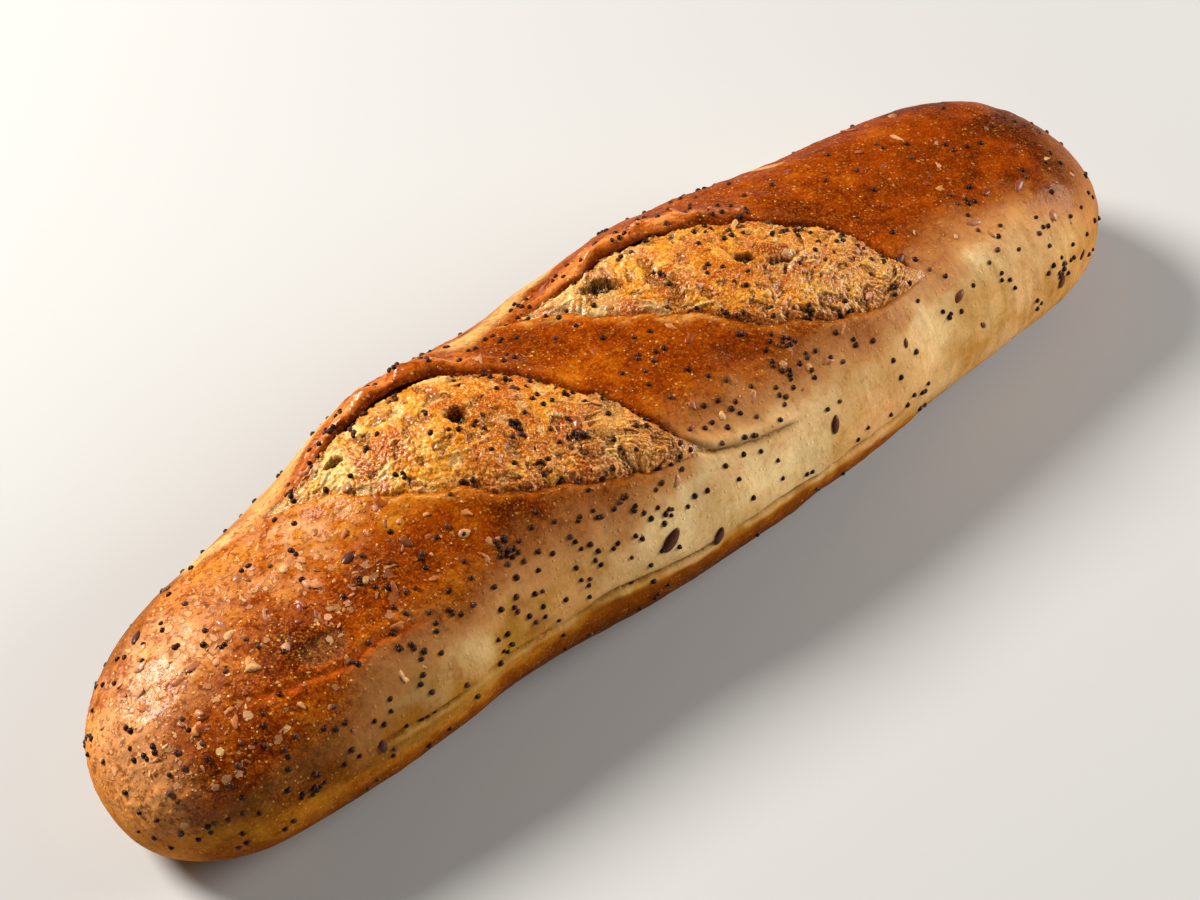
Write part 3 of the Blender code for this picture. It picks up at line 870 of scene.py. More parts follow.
def buildBloom(index):
    slash, s = slashes[index], bloomMesh
    # rows closer together towards both ends
    u = (1 - np.cos(np.linspace(0.02, 1, s["along"]) * math.pi * 0.985)) / 2
    u = 0.6 * u + 0.4 * np.linspace(u[0], u[-1], s["along"])
    ear, lip = slashEdges(slash, u)
    lift = bell(u - slash["earPeak"], slash["earSpread"])
    low = -ear - s["tuckUnderEar"] * (0.3 + 0.7 * lift)
    v = low[:, None] + (lip + s["pastLip"] - low)[:, None] * np.linspace(0, 1, s["across"])
    u = np.repeat(u[:, None], s["across"], axis=1)
    point, outward, marks = bloomSkin(index, u, v)

    # its front edge and far end take on the colour of the skin beside them
    skin, _, skinMarks = crustSkin(marks["x"], marks["arc"] / loafForm["arcRadius"] + quarterTurn)
    beside = crustTones(skin, {**skinMarks, "slashes": []})[0]
    ragged = layered(marks["flow"], (0.9, 2.6, slash["seed"] + 41), (0.5, 1.1, slash["seed"] + 42))
    merged = (1 - ease(marks["toLip"] + ragged, 0.2, 2.2)) * (0.55 + 0.35 * marks["froth"])
    merged = np.maximum(merged, 0.85 * ease(u + 0.03 * ragged, 0.84, 0.99))
    colour = dyed(bloomTones(index, marks), beside, np.clip(merged, 0, 1))

    # a skirt down both sides and a bottom close it, under the crust, coloured with the crevice tone as
    # painted shade
    rows, columns = u.shape
    under = point[:, [0, -1]] - outward[:, [0, -1]] * s["skirt"]
    faces = gridFaces(rows, columns, False)
    bottom = rows * columns
    for r in range(rows - 1):
        a, b = bottom + 2 * r, bottom + 2 * r + 2
        faces.append([r * columns, (r + 1) * columns, b, a])
        faces.append([(r + 1) * columns - 1, a + 1, b + 1, (r + 2) * columns - 1])
        faces.append([a, b, b + 1, a + 1])
    faces.append([*range(columns)][::-1] + [bottom, bottom + 1])
    faces.append([*range(bottom - columns, bottom)] + [bottom + 2 * rows - 1, bottom + 2 * rows - 2])
    verts = np.vstack([point.reshape(-1, 3), under.reshape(-1, 3)])
    colours = np.vstack([colour.reshape(-1, 3), np.tile(bloomPaint["crevice"], (rows * 2, 1))])
    shine = np.concatenate([marks["shine"].ravel(), np.zeros(rows * 2)])
    return makePiece(slash["name"], verts, faces, colours, {"gloss": shine})


# seeds and grain
def ballTemplate(around, along):
    # points and faces of a ball
    turn = 2 * math.pi * np.arange(around) / around
    polar = math.pi * np.arange(1, along)[:, None] / along
    across, level = np.sin(polar), -np.cos(polar)
    rings = np.stack(np.broadcast_arrays(across * np.cos(turn), across * np.sin(turn), level), axis=-1)
    verts = np.vstack([[0, 0, -1], rings.reshape(-1, 3), [0, 0, 1]])
    top = 1 + (along - 1) * around
    faces = [[0, 1 + (k + 1) % around, 1 + k] for k in range(around)]
    faces += gridFaces(along - 1, around, True, 1)
    faces += [[top, top - around + k, top - around + (k + 1) % around] for k in range(around)]
    return verts, faces


def crustSpot(x, arc):
    # the crust's own point and the way out of it, so that a seed sits on what is there
    x, arc = np.asarray(x, float), np.asarray(arc, float)
    angle = arc / loafForm["arcRadius"] + quarterTurn
    here, _, marks = crustSkin(x, angle)
    ahead = crustSkin(x + 0.6, angle)[0]
    beside = crustSkin(x, angle + 0.6 / loafForm["arcRadius"])[0]
    return here, unit(np.cross(beside - here, ahead - here)), unit(ahead - here), marks


def bloomSpot(index, u, share):
    # the same in a bloom, a share of the way across it from the ear to the lip
    length = slashRun(slashes[index])[3]
    ear, lip = slashEdges(slashes[index], u)
    v = share * (ear + lip) - ear
    here, _, marks = bloomSkin(index, u, v)
    ahead = bloomSkin(index, u + 0.5 / length, v)[0]
    beside = bloomSkin(index, u, v + 0.5)[0]
    return here, unit(np.cross(beside - here, ahead - here)), unit(ahead - here), marks


def clearOfSlashes(marks, pastEarEdge, lipMargin):
    # whether each place lies outside both openings
    inside = [(pastEar > pastEarEdge) & (toLip > -lipMargin) for _, pastEar, toLip, _ in marks["slashes"]]
    return ~np.any(inside, axis=0)


def leaned(out, along, much, rng):
    # seeds lean a little to all sides
    out = unit(out + much * rng.normal(0, 1, out.shape))
    return out, unit(np.cross(np.cross(out, along), out))


def scatterCopies(name, settings, shapes, faces, place, turns, long, tints):
    # one mesh with a copy at each place (point, way out, way along), and a tint for each copy or point
    point, out, along = place
    side = np.cross(out, along)
    ahead = along * np.cos(turns)[:, None] + side * np.sin(turns)[:, None]
    sizes = long[:, None] * np.array([1, settings["width"], settings["thickness"]])
    verts = (point + settings["sink"] * sizes[:, 2:] * out)[:, None]
    for k, way in enumerate((ahead, np.cross(out, ahead), out)):
        verts = verts + shapes[..., k, None] * (sizes[:, k, None] * way)[:, None]
    verts[..., 2] = np.maximum(verts[..., 2], 0.05)
    count, each = verts.shape[:2]
    joined = [[i + k * each for i in face] for k in range(count) for face in faces]
    tones = tints.reshape(-1, 3) if tints.ndim == 3 else np.repeat(tints, each, axis=0)
    return makePiece(name, verts.reshape(-1, 3), joined, tones)


def earSpots(index, rng, count):
    # x and arc of places along an ear's crest
    start, along, across, length = slashRun(slashes[index])
    u = rng.uniform(0.06, 0.62, count)
    v = rng.uniform(-5.0, 0.4, count) - slashEdges(slashes[index], u)[0]
    return start[0] + along[0] * u * length + across[0] * v, start[1] + along[1] * u * length + across[1] * v


poppy = {
    "seed": 5, "halfLength": (0.54, 0.76), "width": 0.86, "thickness": 0.78, "sink": 0.02,
    "lean": 0.35, "kidneyBend": 0.28,
    "tints": (paint(50, 24, 14), paint(88, 54, 42), paint(70, 34, 12)), "tintShares": (0.66, 0.85),
    # patches of crust: x from, x to, degrees from, degrees to, how many
    "patches": [
        (-128, -92, 36, 62, 12), (-128, -96, 62, 118, 18), (-128, -92, 118, 168, 30),
        (-96, -70, 58, 112, 12), (-92, -56, 124, 172, 36), (-72, -50, 50, 64, 8), (-72, -30, 96, 128, 22),
        (-56, -12, 124, 168, 66), (-30, 0, 40, 62, 10), (-30, 20, 58, 112, 34), (-8, 34, 112, 150, 34),
        (0, 60, 150, 176, 12), (20, 60, 34, 72, 20), (24, 62, 114, 142, 30), (62, 112, 60, 112, 16),
        (66, 116, 112, 160, 30), (-38, -6, 112, 152, 26), (116, 129, 60, 170, 16), (118, 129, -40, 40, 8),
        (-129, -118, 60, 200, 12), (-129, -118, -30, 60, 8), (84, 122, 156, 182, 12),
        (-118, 60, 172, 200, 34), (-120, 112, -2, 36, 80), (-112, 108, -24, -2, 24),
    ],
    # little groups: x, arc, how many, spread
    "clusters": [(-47, 22, 9, 2.0), (-100, 50, 9, 3.4), (-121, 9, 4, 2.2), (-36, 12, 5, 3.0),
                 (-72, 9, 3, 2.2), (27, 20, 8, 4.2), (24, 27, 8, 3.8), (88, 14, 5, 2.6),
                 (103, 48, 7, 2.4), (-62, 13, 3, 2.2), (2, 6, 4, 2.6), (100, 31, 4, 2.2)],
    "blooms": [(0, 100), (1, 90)], "ears": [(0, 22), (1, 26)],      # slash, how many
    # rows in the blooms: slash, share of its length from and to, share of its width, how many
    "rows": [(0, 0.04, 0.55, 0.07, 26), (0, 0.55, 0.75, 0.55, 8), (0, 0.45, 0.95, 0.95, 16),
             (1, 0.08, 0.42, 0.08, 14), (1, 0.50, 0.86, 0.95, 18), (1, 0.42, 0.9, 0.10, 10)],
}


def buildPoppySeeds():
    rng = np.random.default_rng(poppy["seed"])
    spots = []
    for firstX, lastX, firstAngle, lastAngle, count in poppy["patches"]:
        x = rng.uniform(firstX, lastX, count)
        spots.append((x, np.radians(rng.uniform(firstAngle, lastAngle, count) - 90) * loafForm["arcRadius"]))
    for x, arc, count, spread in poppy["clusters"]:
        spots.append((x + rng.normal(0, 0.6 * spread, count), arc + rng.normal(0, 0.6 * spread, count)))
    spots += [earSpots(index, rng, count) for index, count in poppy["ears"]]
    *place, marks = crustSpot(*map(np.concatenate, zip(*spots)))
    clear = clearOfSlashes(marks, 1.0, 0.6)
    found = [[row[clear] for row in place]]
    for index, count in poppy["blooms"]:
        u = rng.beta(1.5, 1.4, count) * 0.94 + 0.03
        beside = rng.random(count) < 0.45
        share = np.where(beside, rng.uniform(0.02, 0.3, count), rng.uniform(0.2, 1.0, count))
        found.append(bloomSpot(index, u, share)[:3])
    for index, first, last, across, count in poppy["rows"]:
        u = rng.uniform(first, last, count)
        found.append(bloomSpot(index, u, across + rng.normal(0, 0.03, count))[:3])
    point, out, along = map(np.vstack, zip(*found))
    count = len(point)
    ball, faces = ballTemplate(8, 6)
    ball[:, 1] += poppy["kidneyBend"] * ball[:, 0] ** 2 - 0.1
    long = rng.uniform(*poppy["halfLength"], count)
    place = (point, *leaned(out, along, poppy["lean"], rng))
    tints = np.array(poppy["tints"])[np.searchsorted(poppy["tintShares"], rng.random(count), "right")]
    print("poppy seeds:", count)
    shapes = np.repeat(ball[None], count, axis=0)
    return scatterCopies("poppySeeds", poppy, shapes, faces, place, rng.uniform(0, 6.28, count), long, tints)


linseed = {
    # half the length in mm, and width, thickness and how deep they sit as shares of it
    "seed": 8, "halfLength": (1.7, 2.3), "width": 0.50, "thickness": 0.26, "sink": 0.05, "point": 0.35,
    "tints": (paint(92, 46, 24), paint(116, 62, 32), paint(84, 46, 36)),
    # x, arc, turn, share of the full length
    "placed": [(-71.5, 3.5, 0.2, 1.0), (-61.4, 9.2, 1.9, 0.7), (-85.3, 49.1, 1.4, 1.0),
               (-14.5, 45.2, 0.75, 1.35), (-3.6, 52.9, 1.2, 1.05), (29.8, 43.3, 1.1, 1.05),
               (72.1, 34.7, 0.5, 0.9), (64.3, 18.8, 0.4, 0.85), (76.4, 47.5, 2.2, 0.7),
               (102.6, 53.5, 1.5, 1.0), (110.4, 49.7, 0.9, 0.7), (54.0, 36.6, 1.2, 0.6),
               (-109.2, -24.8, 0.5, 1.0), (-98.0, -33.0, 1.8, 0.9), (-47.0, -58.0, 0.6, 1.0),
               (20.0, -52.0, 1.2, 1.0), (58.0, -60.0, 0.3, 0.9), (84.0, -40.0, 2.0, 1.0),
               (-18.0, -66.0, 1.0, 1.0), (-80.0, -50.0, 2.6, 0.8), (104.0, -56.0, 0.8, 0.9),
               (38.0, -40.0, 1.5, 0.8)],
}


def buildLinseeds():
    rng = np.random.default_rng(linseed["seed"])
    x, arc, turns, shares = np.array(linseed["placed"]).T
    place = crustSpot(x, arc)[:3]
    ball, faces = ballTemplate(16, 10)
    ball[:, 1] *= 1 - linseed["point"] * np.maximum(0, ball[:, 0]) ** 1.5      # pointed at one end
    long = rng.uniform(*linseed["halfLength"], len(x)) * shares
    tints = np.array(linseed["tints"])[rng.integers(0, 3, len(x))]
    shapes = np.repeat(ball[None], len(x), axis=0)
    return scatterCopies("linseeds", linseed, shapes, faces, place, turns, long, tints)


grains = {
    # how many on the crust, in the blooms and on each ear, half their length in mm, and what share of them is
    # gathered on the near dome. placed is x, arc and share of the full length, and blooming adds the slash
    "crackedGrain": {"seed": 14, "count": 26, "bloomCount": 24, "halfLength": (0.7, 1.4), "width": 0.72,
                     "thickness": 0.42, "sink": -0.3, "nearShare": 0.7, "rough": 0.10, "stained": (0.2, 0.7),
                     "tints": (paint(226, 176, 112), paint(206, 146, 84), paint(214, 150, 112)),
                     "ears": 5, "blooming": [(1, 31.0, 11.0, 0.9)],
                     "placed": [(-98.3, 10.2, 1.0), (-80.4, 1.9, 0.8), (-81.6, -5.1, 0.6), (24.9, 24.2, 0.8),
                                (7.1, 26.1, 0.6)]},
    "paleFlakes": {"seed": 25, "count": 210, "bloomCount": 60, "halfLength": (0.4, 1.9), "width": 0.45,
                   "thickness": 0.20, "sink": -0.42, "nearShare": 0.84, "rough": 0.29, "stained": (0.35, 1.0),
                   "tints": (paint(250, 200, 128), paint(236, 162, 84), paint(240, 176, 124)),
                   "ears": 24, "blooming": [(0, -24.0, 15.0, 0.8)],
                   "placed": [(91.1, -13.7, 1.0), (-5.0, -1.0, 0.5), (28.3, -2.9, 0.6), (-61.1, 19.4, 0.6)]},
    "maltFlakes": {"seed": 16, "count": 110, "bloomCount": 24, "halfLength": (0.6, 1.9), "width": 0.58,
                   "thickness": 0.22, "sink": -0.35, "nearShare": 0.6, "rough": 0.18, "stained": (0.1, 0.8),
                   "tints": (paint(146, 62, 26), paint(120, 50, 28), paint(170, 82, 36), paint(138, 70, 52)),
                   "ears": 12, "blooming": [(0, -24.0, 9.6, 1.0), (1, 4.7, -6.4, 0.5)],
                   "placed": [(85.6, 20.7, 1.0), (102.0, 17.8, 1.0), (104.6, 29.3, 1.0), (-113.2, -14.7, 0.8),
                              (-119.3, -7.3, 0.6), (94.2, 15.3, 0.8), (87.6, 24.8, 0.6), (107.8, 22.0, 0.7),
                              (3.0, 20.4, 0.5), (34.4, 28.7, 1.0), (15.1, 26.1, 0.7), (-8.8, 32.0, 0.6),
                              (-83.6, 4.1, 0.8)]},
}


def flakeShapes(ball, count, rough, rng):
    # thin broken pieces, each with an outline of its own
    turn = np.arctan2(ball[:, 1], ball[:, 0])
    outline = 1.0
    for waves, share in ((1, 1.1), (2, 0.9), (3, 0.8)):
        outline = outline + rough * share * np.cos(waves * turn + rng.uniform(0, 6.28, (count, 1)))
    shapes = ball[None] * (1 + 0.5 * rough * rng.uniform(-1, 1, (count, len(ball), 1)))
    shapes[..., :2] *= np.maximum(outline, 0.25)[..., None]
    shapes[..., 1] += rng.uniform(-0.5, 0.5, (count, 1)) * shapes[..., 0] ** 2        # some are bent
    shapes[..., 2] += rng.uniform(-0.5, 0.5, (count, 1)) * shapes[..., 0]
    return shapes


def buildGrains(name):
    s = grains[name]
    rng = np.random.default_rng(s["seed"])
    count = s["count"]
    onDome = rng.random(count) < s["nearShare"]
    x = np.where(onDome, rng.uniform(-124, -48, count), rng.uniform(-60, 118, count))
    arc = np.radians(np.clip(rng.normal(4, 24, count), -80, 62)) * loafForm["arcRadius"]
    spots = [np.array(s["placed"]).T, (x, arc, rng.random(count) ** 2.8)]
    for index in (0, 1):
        spots.append((*earSpots(index, rng, s["ears"]), rng.random(s["ears"]) ** 2.2))
    x, arc, full = map(np.concatenate, zip(*spots))
    *place, marks = crustSpot(x, arc)
    clear = clearOfSlashes(marks, 0.0, 1.0) & (marks["sunk"] < 0.3)
    found = [[row[clear] for row in (*place, crustTones(place[0], marks)[0], full[:, None])]]
    for index in (0, 1):
        u = rng.uniform(0.05, 0.95, s["bloomCount"] // 2)
        *place, marks = bloomSpot(index, u, rng.uniform(0.08, 0.97, len(u)))
        found.append((*place, bloomTones(index, marks), rng.random((len(u), 1)) ** 2.2))
    for index, x, arc, full in s["blooming"]:
        u, v = fromStart(slashes[index], x, arc)
        ear, lip = slashEdges(slashes[index], u)
        *place, marks = bloomSpot(index, np.array([u]), (v + ear) / (ear + lip))
        found.append((*place, bloomTones(index, marks), np.array([[full]])))
    point, out, along, beneath, full = map(np.vstack, zip(*found))
    count = len(point)
    ball, faces = ballTemplate(13, 6)
    shapes = flakeShapes(ball, count, s["rough"], rng)
    place = (point, *leaned(out, along, 0.14, rng))
    tints = np.array(s["tints"])[rng.integers(0, len(s["tints"]), count)]
    # baked to the colour under them, most at the edges
    stained = rng.uniform(*s["stained"], (count, 1)) + 0.5 * ease(-shapes[..., 2], -0.75, 0.2)
    tints = dyed(tints[:, None], beneath[:, None], np.clip(stained, 0, 1))
    long = mixed(*s["halfLength"], full[:, 0])
    return scatterCopies(name, s, shapes, faces, place, rng.uniform(0, 6.28, count), long, tints)


# finishes
class Finish:
    # a material, with short ways to add nodes to it
    def __init__(self, name):
        self.material = bpy.data.materials.new(name)
        self.material.use_nodes = True
        self.tree = self.material.node_tree
        self.shader = self.tree.nodes["Principled BSDF"]

    def put(self, value, socket):
        if isinstance(value, bpy.types.NodeSocket):
            self.tree.links.new(value, socket)
        elif value is not None:
            socket.default_value = value

    def node(self, kind, inputs=None, **settings):
        node = self.tree.nodes.new("ShaderNode" + kind)
        for key, value in settings.items():
            setattr(node, key, value)
        for key, value in (inputs or {}).items():
            self.put(value, node.inputs[key])
        return node

    def shade(self, values):
        # what goes into the shader's own sockets
        for key, value in values.items():
            self.put(value, self.shader.inputs[key])

    def place(self):
        return self.node("TexCoord").outputs["Object"]

    def mark(self, name, output="Fac"):
        # a value or colour that the mesh carries at its points
        return self.node("Attribute", attribute_name=name).outputs[output]

    def maths(self, operation, first, second=None):
        return self.node("Math", {0: first, 1: second}, operation=operation).outputs[0]

    def times(self, first, second):
        return self.maths("MULTIPLY", first, second)

    def plus(self, first, second):
        return self.maths("ADD", first, second)

    def minus(self, first, second):
        return self.maths("SUBTRACT", first, second)

    def between(self, value, low, high, toLow=0.0, toHigh=1.0):
        # brings values from low to high over to toLow to toHigh
        inputs = {"Value": value, "From Min": low, "From Max": high, "To Min": toLow, "To Max": toHigh}
        return self.node("MapRange", inputs).outputs["Result"]

    def noise(self, place, size, detail=2.0, roughness=0.5, output="Fac"):
        # noise whose lumps are size mm apart
        inputs = {"Vector": place, "Scale": 1.0 / (size * toMetres), "Detail": detail, "Roughness": roughness}
        return self.node("TexNoise", inputs).outputs[output]

    def cells(self, place, size):
        # cells size mm apart: three chance numbers for each, and the distance from its middle
        cells = self.node("TexVoronoi", {"Vector": place, "Scale": 1.0 / (size * toMetres)})
        return self.node("SeparateColor", {0: cells.outputs["Color"]}).outputs, cells.outputs["Distance"]

    def blend(self, share, first, second, kind="MIX"):
        tones = [tone if isinstance(tone, bpy.types.NodeSocket) else (*tone, 1.0) for tone in (first, second)]
        inputs = {0: share, 6: tones[0], 7: tones[1]}
        return self.node("Mix", inputs, data_type="RGBA", blend_type=kind).outputs[2]

    def tinted(self, tone, tint):
        return self.blend(1.0, tone, tint, "MULTIPLY")

    def shaded(self, tone, value):
        # a colour made lighter or darker by one value
        return self.tinted(tone, self.node("CombineColor", {0: value, 1: value, 2: value}).outputs[0])

    def bumped(self, height, strength, distance, *sockets):
        bump = self.node("Bump", {"Height": height, "Strength": strength, "Distance": distance})
        self.shade({socket: bump.outputs["Normal"] for socket in sockets})


crustFinish = {
    "grainSize": 0.5, "grainShare": 0.62, "grainTone": paint(228, 138, 34), "grainTint": (1.6, 1.8, 1.5),
    "scorchSize": 1.2, "scorchTint": (0.55, 0.42, 0.3),
    "speckSize": 1.05, "speckShare": 0.7, "speckTone": paint(246, 176, 80),
    "bitSize": 2.3, "bitWobble": 1.6, "bitCream": paint(252, 206, 130), "bitPink": paint(238, 166, 122),
    "freckleSize": 2.6, "freckleTint": (0.80, 0.66, 0.45),
    # the fold lip's tone is a painted highlight, and the crease tint painted shade
    "foldLipHighlight": paint(238, 190, 108), "creaseShadeTint": (0.40, 0.28, 0.12), "tearTone": paint(214, 88, 12),
    # the glint tone is a painted highlight
    "glintSize": 0.9, "glintTone": paint(255, 216, 150), "streaks": 0.8,
    "roughPale": 0.60, "roughGlossy": 0.36, "specular": 0.02, "coat": 0.46, "coatRough": 0.16,
    "bumpStrength": 0.8, "bumpHeight": 0.0005,
}


def bakedSpecks(f, place, tone, blistered, patchy):
    # fine golden grain, scorched hollows and bright blisters on the browned skin
    s = crustFinish
    lighter = f.blend(0.6, f.tinted(tone, s["grainTint"]), s["grainTone"])
    fine = f.between(f.noise(place, s["grainSize"], 3.0, 0.65), 0.49, 0.60, 0.0, s["grainShare"])
    colour = f.blend(f.times(fine, patchy), tone, lighter)
    scorch = f.between(f.noise(place, s["scorchSize"], 4.0, 0.7), 0.50, 0.38, 0.0, 0.9)
    dark = f.tinted(tone, s["scorchTint"])
    colour = f.blend(f.times(scorch, blistered), colour, dark)
    chances, gap = f.cells(place, s["speckSize"])
    dome = f.between(f.minus(f.between(chances[0], 0.5, 1.0, 0.04, 0.42), gap), 0.0, 0.18)
    specks = f.times(f.times(dome, patchy), s["speckShare"])
    return f.blend(specks, colour, s["speckTone"]), dark, dome


def bakedBits(f, place, tone, blistered, colour, dark):
    # bits of grain baked into the near dome, with dark edges painted round them as painted shade
    s = crustFinish
    wobble = f.noise(place, 1 / 0.9, 1.0, output="Color")
    shifted = {0: wobble, 1: [s["bitWobble"] * toMetres] * 3, 2: place}
    shifted = f.node("VectorMath", shifted, operation="MULTIPLY_ADD").outputs[0]
    chances, gap = f.cells(shifted, s["bitSize"])
    inside = f.minus(f.between(chances[0], 0.3, 1.0, 0.02, 0.46), gap)
    gathered = f.between(blistered, 1.0, 1.25, 0.0, 1.0)
    # painted shade: a dark ring round each bit
    colour = f.blend(f.times(f.between(inside, -0.12, -0.01, 0.0, 0.6), gathered), colour, dark)
    bit = f.times(f.between(inside, 0.0, 0.05), gathered)
    bitTone = f.blend(chances[1], s["bitCream"], s["bitPink"])
    bitTone = f.blend(f.between(chances[2], 0.0, 1.0, 0.1, 0.8), bitTone, tone)
    return f.blend(f.times(bit, 0.85), colour, bitTone), bit


def foldAndTear(f, place, tone, colour):
    # the fold's thin dark crease and its soft shadow, both painted shade, a painted highlight on its rolled
    # lip, and the orange tear
    s = crustFinish
    wander = f.minus(f.noise(place, 1.8, 3.0, 0.6), 0.5)
    foldShare = f.mark("foldShare")
    foldGap = f.plus(f.mark("foldGap"), f.times(wander, 1.6))
    lit = f.times(f.between(foldGap, 0.3, 0.9, 0.0, 0.4), f.between(foldGap, 1.1, 2.1, 1.0, 0.0))
    colour = f.blend(f.times(lit, foldShare), colour, s["foldLipHighlight"])
    foldGap = f.maths("ABSOLUTE", foldGap)
    broken = f.times(f.between(f.noise(place, 7.0, 3.0, 0.6), 0.36, 0.62, 0.12, 0.9), foldShare)
    crease = f.times(f.between(foldGap, 0.08, 0.42, 1.0, 0.0), broken)
    shade = f.times(f.between(foldGap, 0.2, 1.6, 0.35, 0.0), broken)
    colour = f.blend(f.maths("MAXIMUM", crease, shade), colour, f.tinted(tone, s["creaseShadeTint"]))
    tearGap = f.maths("ABSOLUTE", f.plus(f.mark("tearGap"), f.times(wander, 2.6)))
    torn = f.times(f.between(tearGap, 0.3, 2.0, 0.85, 0.0), f.mark("tearShare"))
    torn = f.times(torn, f.between(f.noise(place, 1.4, 3.0, 0.6), 0.38, 0.62, 0.35, 1.0))
    return f.blend(torn, colour, s["tearTone"]), crease, torn


def makeCrustFinish():
    s, f = crustFinish, Finish("bakedCrust")
    place, tone, gloss, blistered = f.place(), f.mark("tone", "Color"), f.mark("gloss"), f.mark("blistered")
    patchy = f.times(f.between(f.noise(place, 4.0, 3.0, 0.6), 0.38, 0.62, 0.45, 1.0), blistered)
    colour, dark, dome = bakedSpecks(f, place, tone, blistered, patchy)
    colour, bit = bakedBits(f, place, tone, blistered, colour, dark)
    # tan freckles where it is pale
    freckled = f.between(f.noise(place, s["freckleSize"], 4.0, 0.7), 0.52, 0.68, 0.0, 0.7)
    freckled = f.times(freckled, f.between(blistered, 0.1, 0.4, 1.0, 0.0))
    colour = f.blend(freckled, colour, f.tinted(tone, s["freckleTint"]))
    colour, crease, torn = foldAndTear(f, place, tone, colour)
    # tiny bright glints, painted highlights
    chances, gap = f.cells(place, s["glintSize"])
    glint = f.between(f.minus(f.between(chances[1], 0.52, 1.0, -0.05, 0.27), gap), 0.0, 0.08, 0.0, 0.9)
    colour = f.blend(f.times(glint, patchy), colour, s["glintTone"])
    # slightly uneven all over, with fine streaks down the pale sides
    dust = f.between(f.noise(place, 0.9, 4.0, 0.7), 0.3, 0.7, 0.90, 1.10)
    wrapped = f.node("Mapping", {"Vector": place, "Scale": (1.0, 0.1, 0.1)}).outputs[0]
    streak = f.minus(f.noise(wrapped, 0.8, 3.0, 0.65), 0.5)
    streak = f.times(streak, f.between(blistered, 0.1, 0.5, s["streaks"], 0.2))
    streak = f.times(streak, f.between(f.noise(place, 11.0), 0.42, 0.62, 0.15, 0.9))
    colour = f.shaded(colour, f.plus(dust, streak))
    rough = f.between(gloss, 0.0, 1.0, s["roughPale"], s["roughGlossy"])
    rough = f.plus(rough, f.between(f.noise(place, 1.6), 0.3, 0.7, -0.07, 0.07))
    f.shade({"Base Color": colour, "Roughness": rough, "Specular IOR Level": s["specular"],
             "Coat Weight": f.times(gloss, s["coat"]), "Coat Roughness": s["coatRough"]})
    height = f.plus(f.times(f.noise(place, 1.3, 1.0), 0.45), f.times(dome, 0.5))
    height = f.plus(height, f.times(f.noise(place, 0.5, 0.0), 0.10))
    height = f.times(height, f.between(blistered, 0.0, 1.0, 0.4, 1.0))
    height = f.minus(f.plus(height, f.times(bit, 0.4)), f.plus(crease, f.times(torn, 0.5)))
    f.bumped(height, s["bumpStrength"], s["bumpHeight"], "Normal", "Coat Normal")
    return f.material


bloomFinish = {
    "grainSize": 0.40, "grainTone": paint(255, 212, 118), "grainShare": 0.85, "grainTint": (1.4, 1.5, 1.3),
    "hollowSize": 0.8, "hollowShare": 0.55, "hollowTint": (0.62, 0.40, 0.18),
    "rough": (0.32, 0.55), "specular": 0.08, "coat": 0.5, "coatRough": 0.14,
    "bumpSize": 0.7, "bumpStrength": 0.8, "bumpHeight": 0.0003,
}


def makeBloomFinish():
    s, f = bloomFinish, Finish("tornCrumb")
    place, tone = f.place(), f.mark("tone", "Color")
    hollow = f.between(f.noise(place, s["hollowSize"], 3.0, 0.65), 0.48, 0.38, 0.0, s["hollowShare"])
    colour = f.blend(hollow, tone, f.tinted(tone, s["hollowTint"]))
    light = f.blend(0.5, f.tinted(tone, s["grainTint"]), s["grainTone"])
    fine = f.between(f.noise(place, s["grainSize"], 3.0, 0.6), 0.51, 0.62, 0.0, s["grainShare"])
    rough = f.between(f.noise(place, s["bumpSize"]), 0.35, 0.65, *s["rough"])
    f.shade({"Base Color": f.blend(fine, colour, light), "Roughness": rough, "Coat Weight": s["coat"],
             "Specular IOR Level": s["specular"], "Coat Roughness": s["coatRough"]})
    f.bumped(f.noise(place, s["bumpSize"], 1.0), s["bumpStrength"], s["bumpHeight"], "Normal", "Coat Normal")
    return f.material


seedFinishes = {
    "poppySeeds": {"name": "poppyFinish", "rough": 0.5, "speckSize": 0.5, "coat": 0.12, "specular": 0.1},
    "linseeds": {"name": "linseedFinish", "rough": 0.4, "speckSize": 1.2, "coat": 0.2, "specular": 0.12},
    "crackedGrain": {"name": "crackedGrainFinish", "rough": 0.45, "speckSize": 0.7, "coat": 0.15,
                     "specular": 0.3},
    "paleFlakes": {"name": "paleFlakeFinish", "rough": 0.5, "speckSize": 0.6, "coat": 0.0, "specular": 0.3},
    "maltFlakes": {"name": "maltFlakeFinish", "rough": 0.4, "speckSize": 0.7, "coat": 0.2, "specular": 0.3},
}


def makeSeedFinish(settings):
    f = Finish(settings["name"])
    place, tone, size = f.place(), f.mark("tone", "Color"), settings["speckSize"]
    colour = f.shaded(tone, f.between(f.noise(place, size), 0.3, 0.7, 0.75, 1.35))
    f.shade({"Base Color": colour, "Roughness": settings["rough"], "Specular IOR Level": settings["specular"],
             "Coat Weight": settings["coat"]})
    f.bumped(f.noise(place, 0.6 * size, 1.0), 0.35, 0.0001, "Normal")
    return f.material


# floor, light and camera
studio = {
    "floor": paint(203, 203, 202), "floorSize": 3.0, "floorLevel": -0.0002, "floorRough": 0.75,
    "sky": (0.95, 0.97, 1.0), "skyStrength": 0.05,
    "lights": {
        "keyLight": {"power": 18.5, "size": 0.40, "from": (-0.38, 0.64, 0.66), "distance": 1.1,
                     "warmth": (1.0, 0.96, 0.90)},
        "fillLight": {"power": 14.5, "size": 0.7, "from": (0.88, -0.44, 0.38), "distance": 1.2,
                      "warmth": (1.0, 0.97, 0.93)},
    },
}
view = {"azimuth": -41.165, "elevation": 50.0, "distance": 0.48509, "target": (-0.00588, -0.00207, 0.020),
        "lens": 70.0, "sensor": 36.0, "clipStart": 0.01}


def aim(thing, way, target, distance):
    # stands it off the target along way, looking back at it
    thing.location = target + way * distance
    thing.rotation_euler = way.to_track_quat("Z", "Y").to_euler()


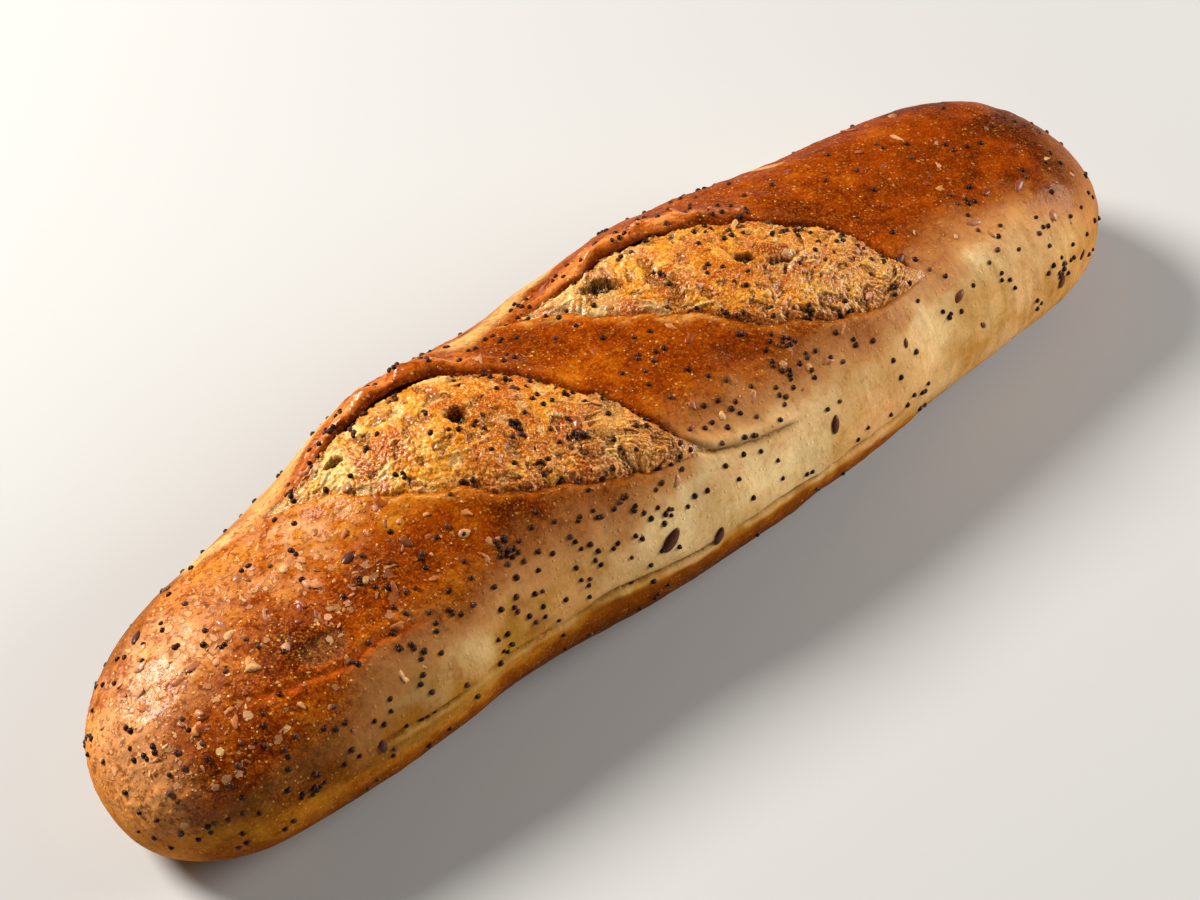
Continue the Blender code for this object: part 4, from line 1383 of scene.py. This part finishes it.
def addSoftLight(name, settings):
    light = bpy.data.lights.new(name, "AREA")
    light.shape = "DISK"
    light.size = settings["size"]
    light.energy = settings["power"]
    light.color = settings["warmth"]
    aim(addToScene(name, light), Vector(settings["from"]).normalized(), Vector(), settings["distance"])


def buildStudio():
    half, low = studio["floorSize"] / 2, studio["floorLevel"]
    mesh = bpy.data.meshes.new("floor")
    mesh.from_pydata([(-half, -half, low), (half, -half, low), (half, half, low), (-half, half, low)], [],
                     [(0, 1, 2, 3)])
    floor = addToScene("floor", mesh)
    finish = Finish("paleFloor")
    finish.shade({"Base Color": (*studio["floor"], 1.0), "Roughness": studio["floorRough"]})
    mesh.materials.append(finish.material)
    for name, settings in studio["lights"].items():
        addSoftLight(name, settings)
    world = bpy.data.worlds.new("studio")
    world.use_nodes = True
    sky = world.node_tree.nodes["Background"].inputs
    sky["Color"].default_value = (*studio["sky"], 1.0)
    sky["Strength"].default_value = studio["skyStrength"]
    bpy.context.scene.world = world
    bpy.context.scene.view_settings.view_transform = "Standard"


def addCamera():
    turn, rise = math.radians(view["azimuth"]), math.radians(view["elevation"])
    way = Vector((math.sin(turn) * math.cos(rise), -math.cos(turn) * math.cos(rise), math.sin(rise)))
    camera = addToScene("camera", bpy.data.cameras.new("camera"))
    camera.data.lens = view["lens"]
    camera.data.sensor_width = view["sensor"]
    camera.data.clip_start = view["clipStart"]
    aim(camera, way, Vector(view["target"]), view["distance"])
    bpy.context.scene.camera = camera


# build it all
buildStudio()
addCamera()
print("floor, light and camera set")

crust = buildCrust()
print("crust:", len(crust.data.polygons), "faces")
blooms = [buildBloom(0), buildBloom(1)]
print("blooms:", [len(bloom.data.polygons) for bloom in blooms])
poppySeeds = buildPoppySeeds()
linseeds = buildLinseeds()
crackedGrain, paleFlakes, maltFlakes = (buildGrains(name) for name in grains)
print("seeds and grain placed")

crust.data.materials.append(makeCrustFinish())
tornCrumb = makeBloomFinish()
for bloom in blooms:
    bloom.data.materials.append(tornCrumb)
for seeds in (poppySeeds, linseeds, crackedGrain, paleFlakes, maltFlakes):
    seeds.data.materials.append(makeSeedFinish(seedFinishes[seeds.name]))
print("finishes made")

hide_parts("loaf")
slots = [(crust, "crust"), (blooms[0], "crumb"), (blooms[1], "crumb"), (poppySeeds, "poppy_seed"),
         (linseeds, "linseed"), (crackedGrain, "grain"), (paleFlakes, "grain"), (maltFlakes, "grain")]
for piece, slotName in slots:
    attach(piece, "root")
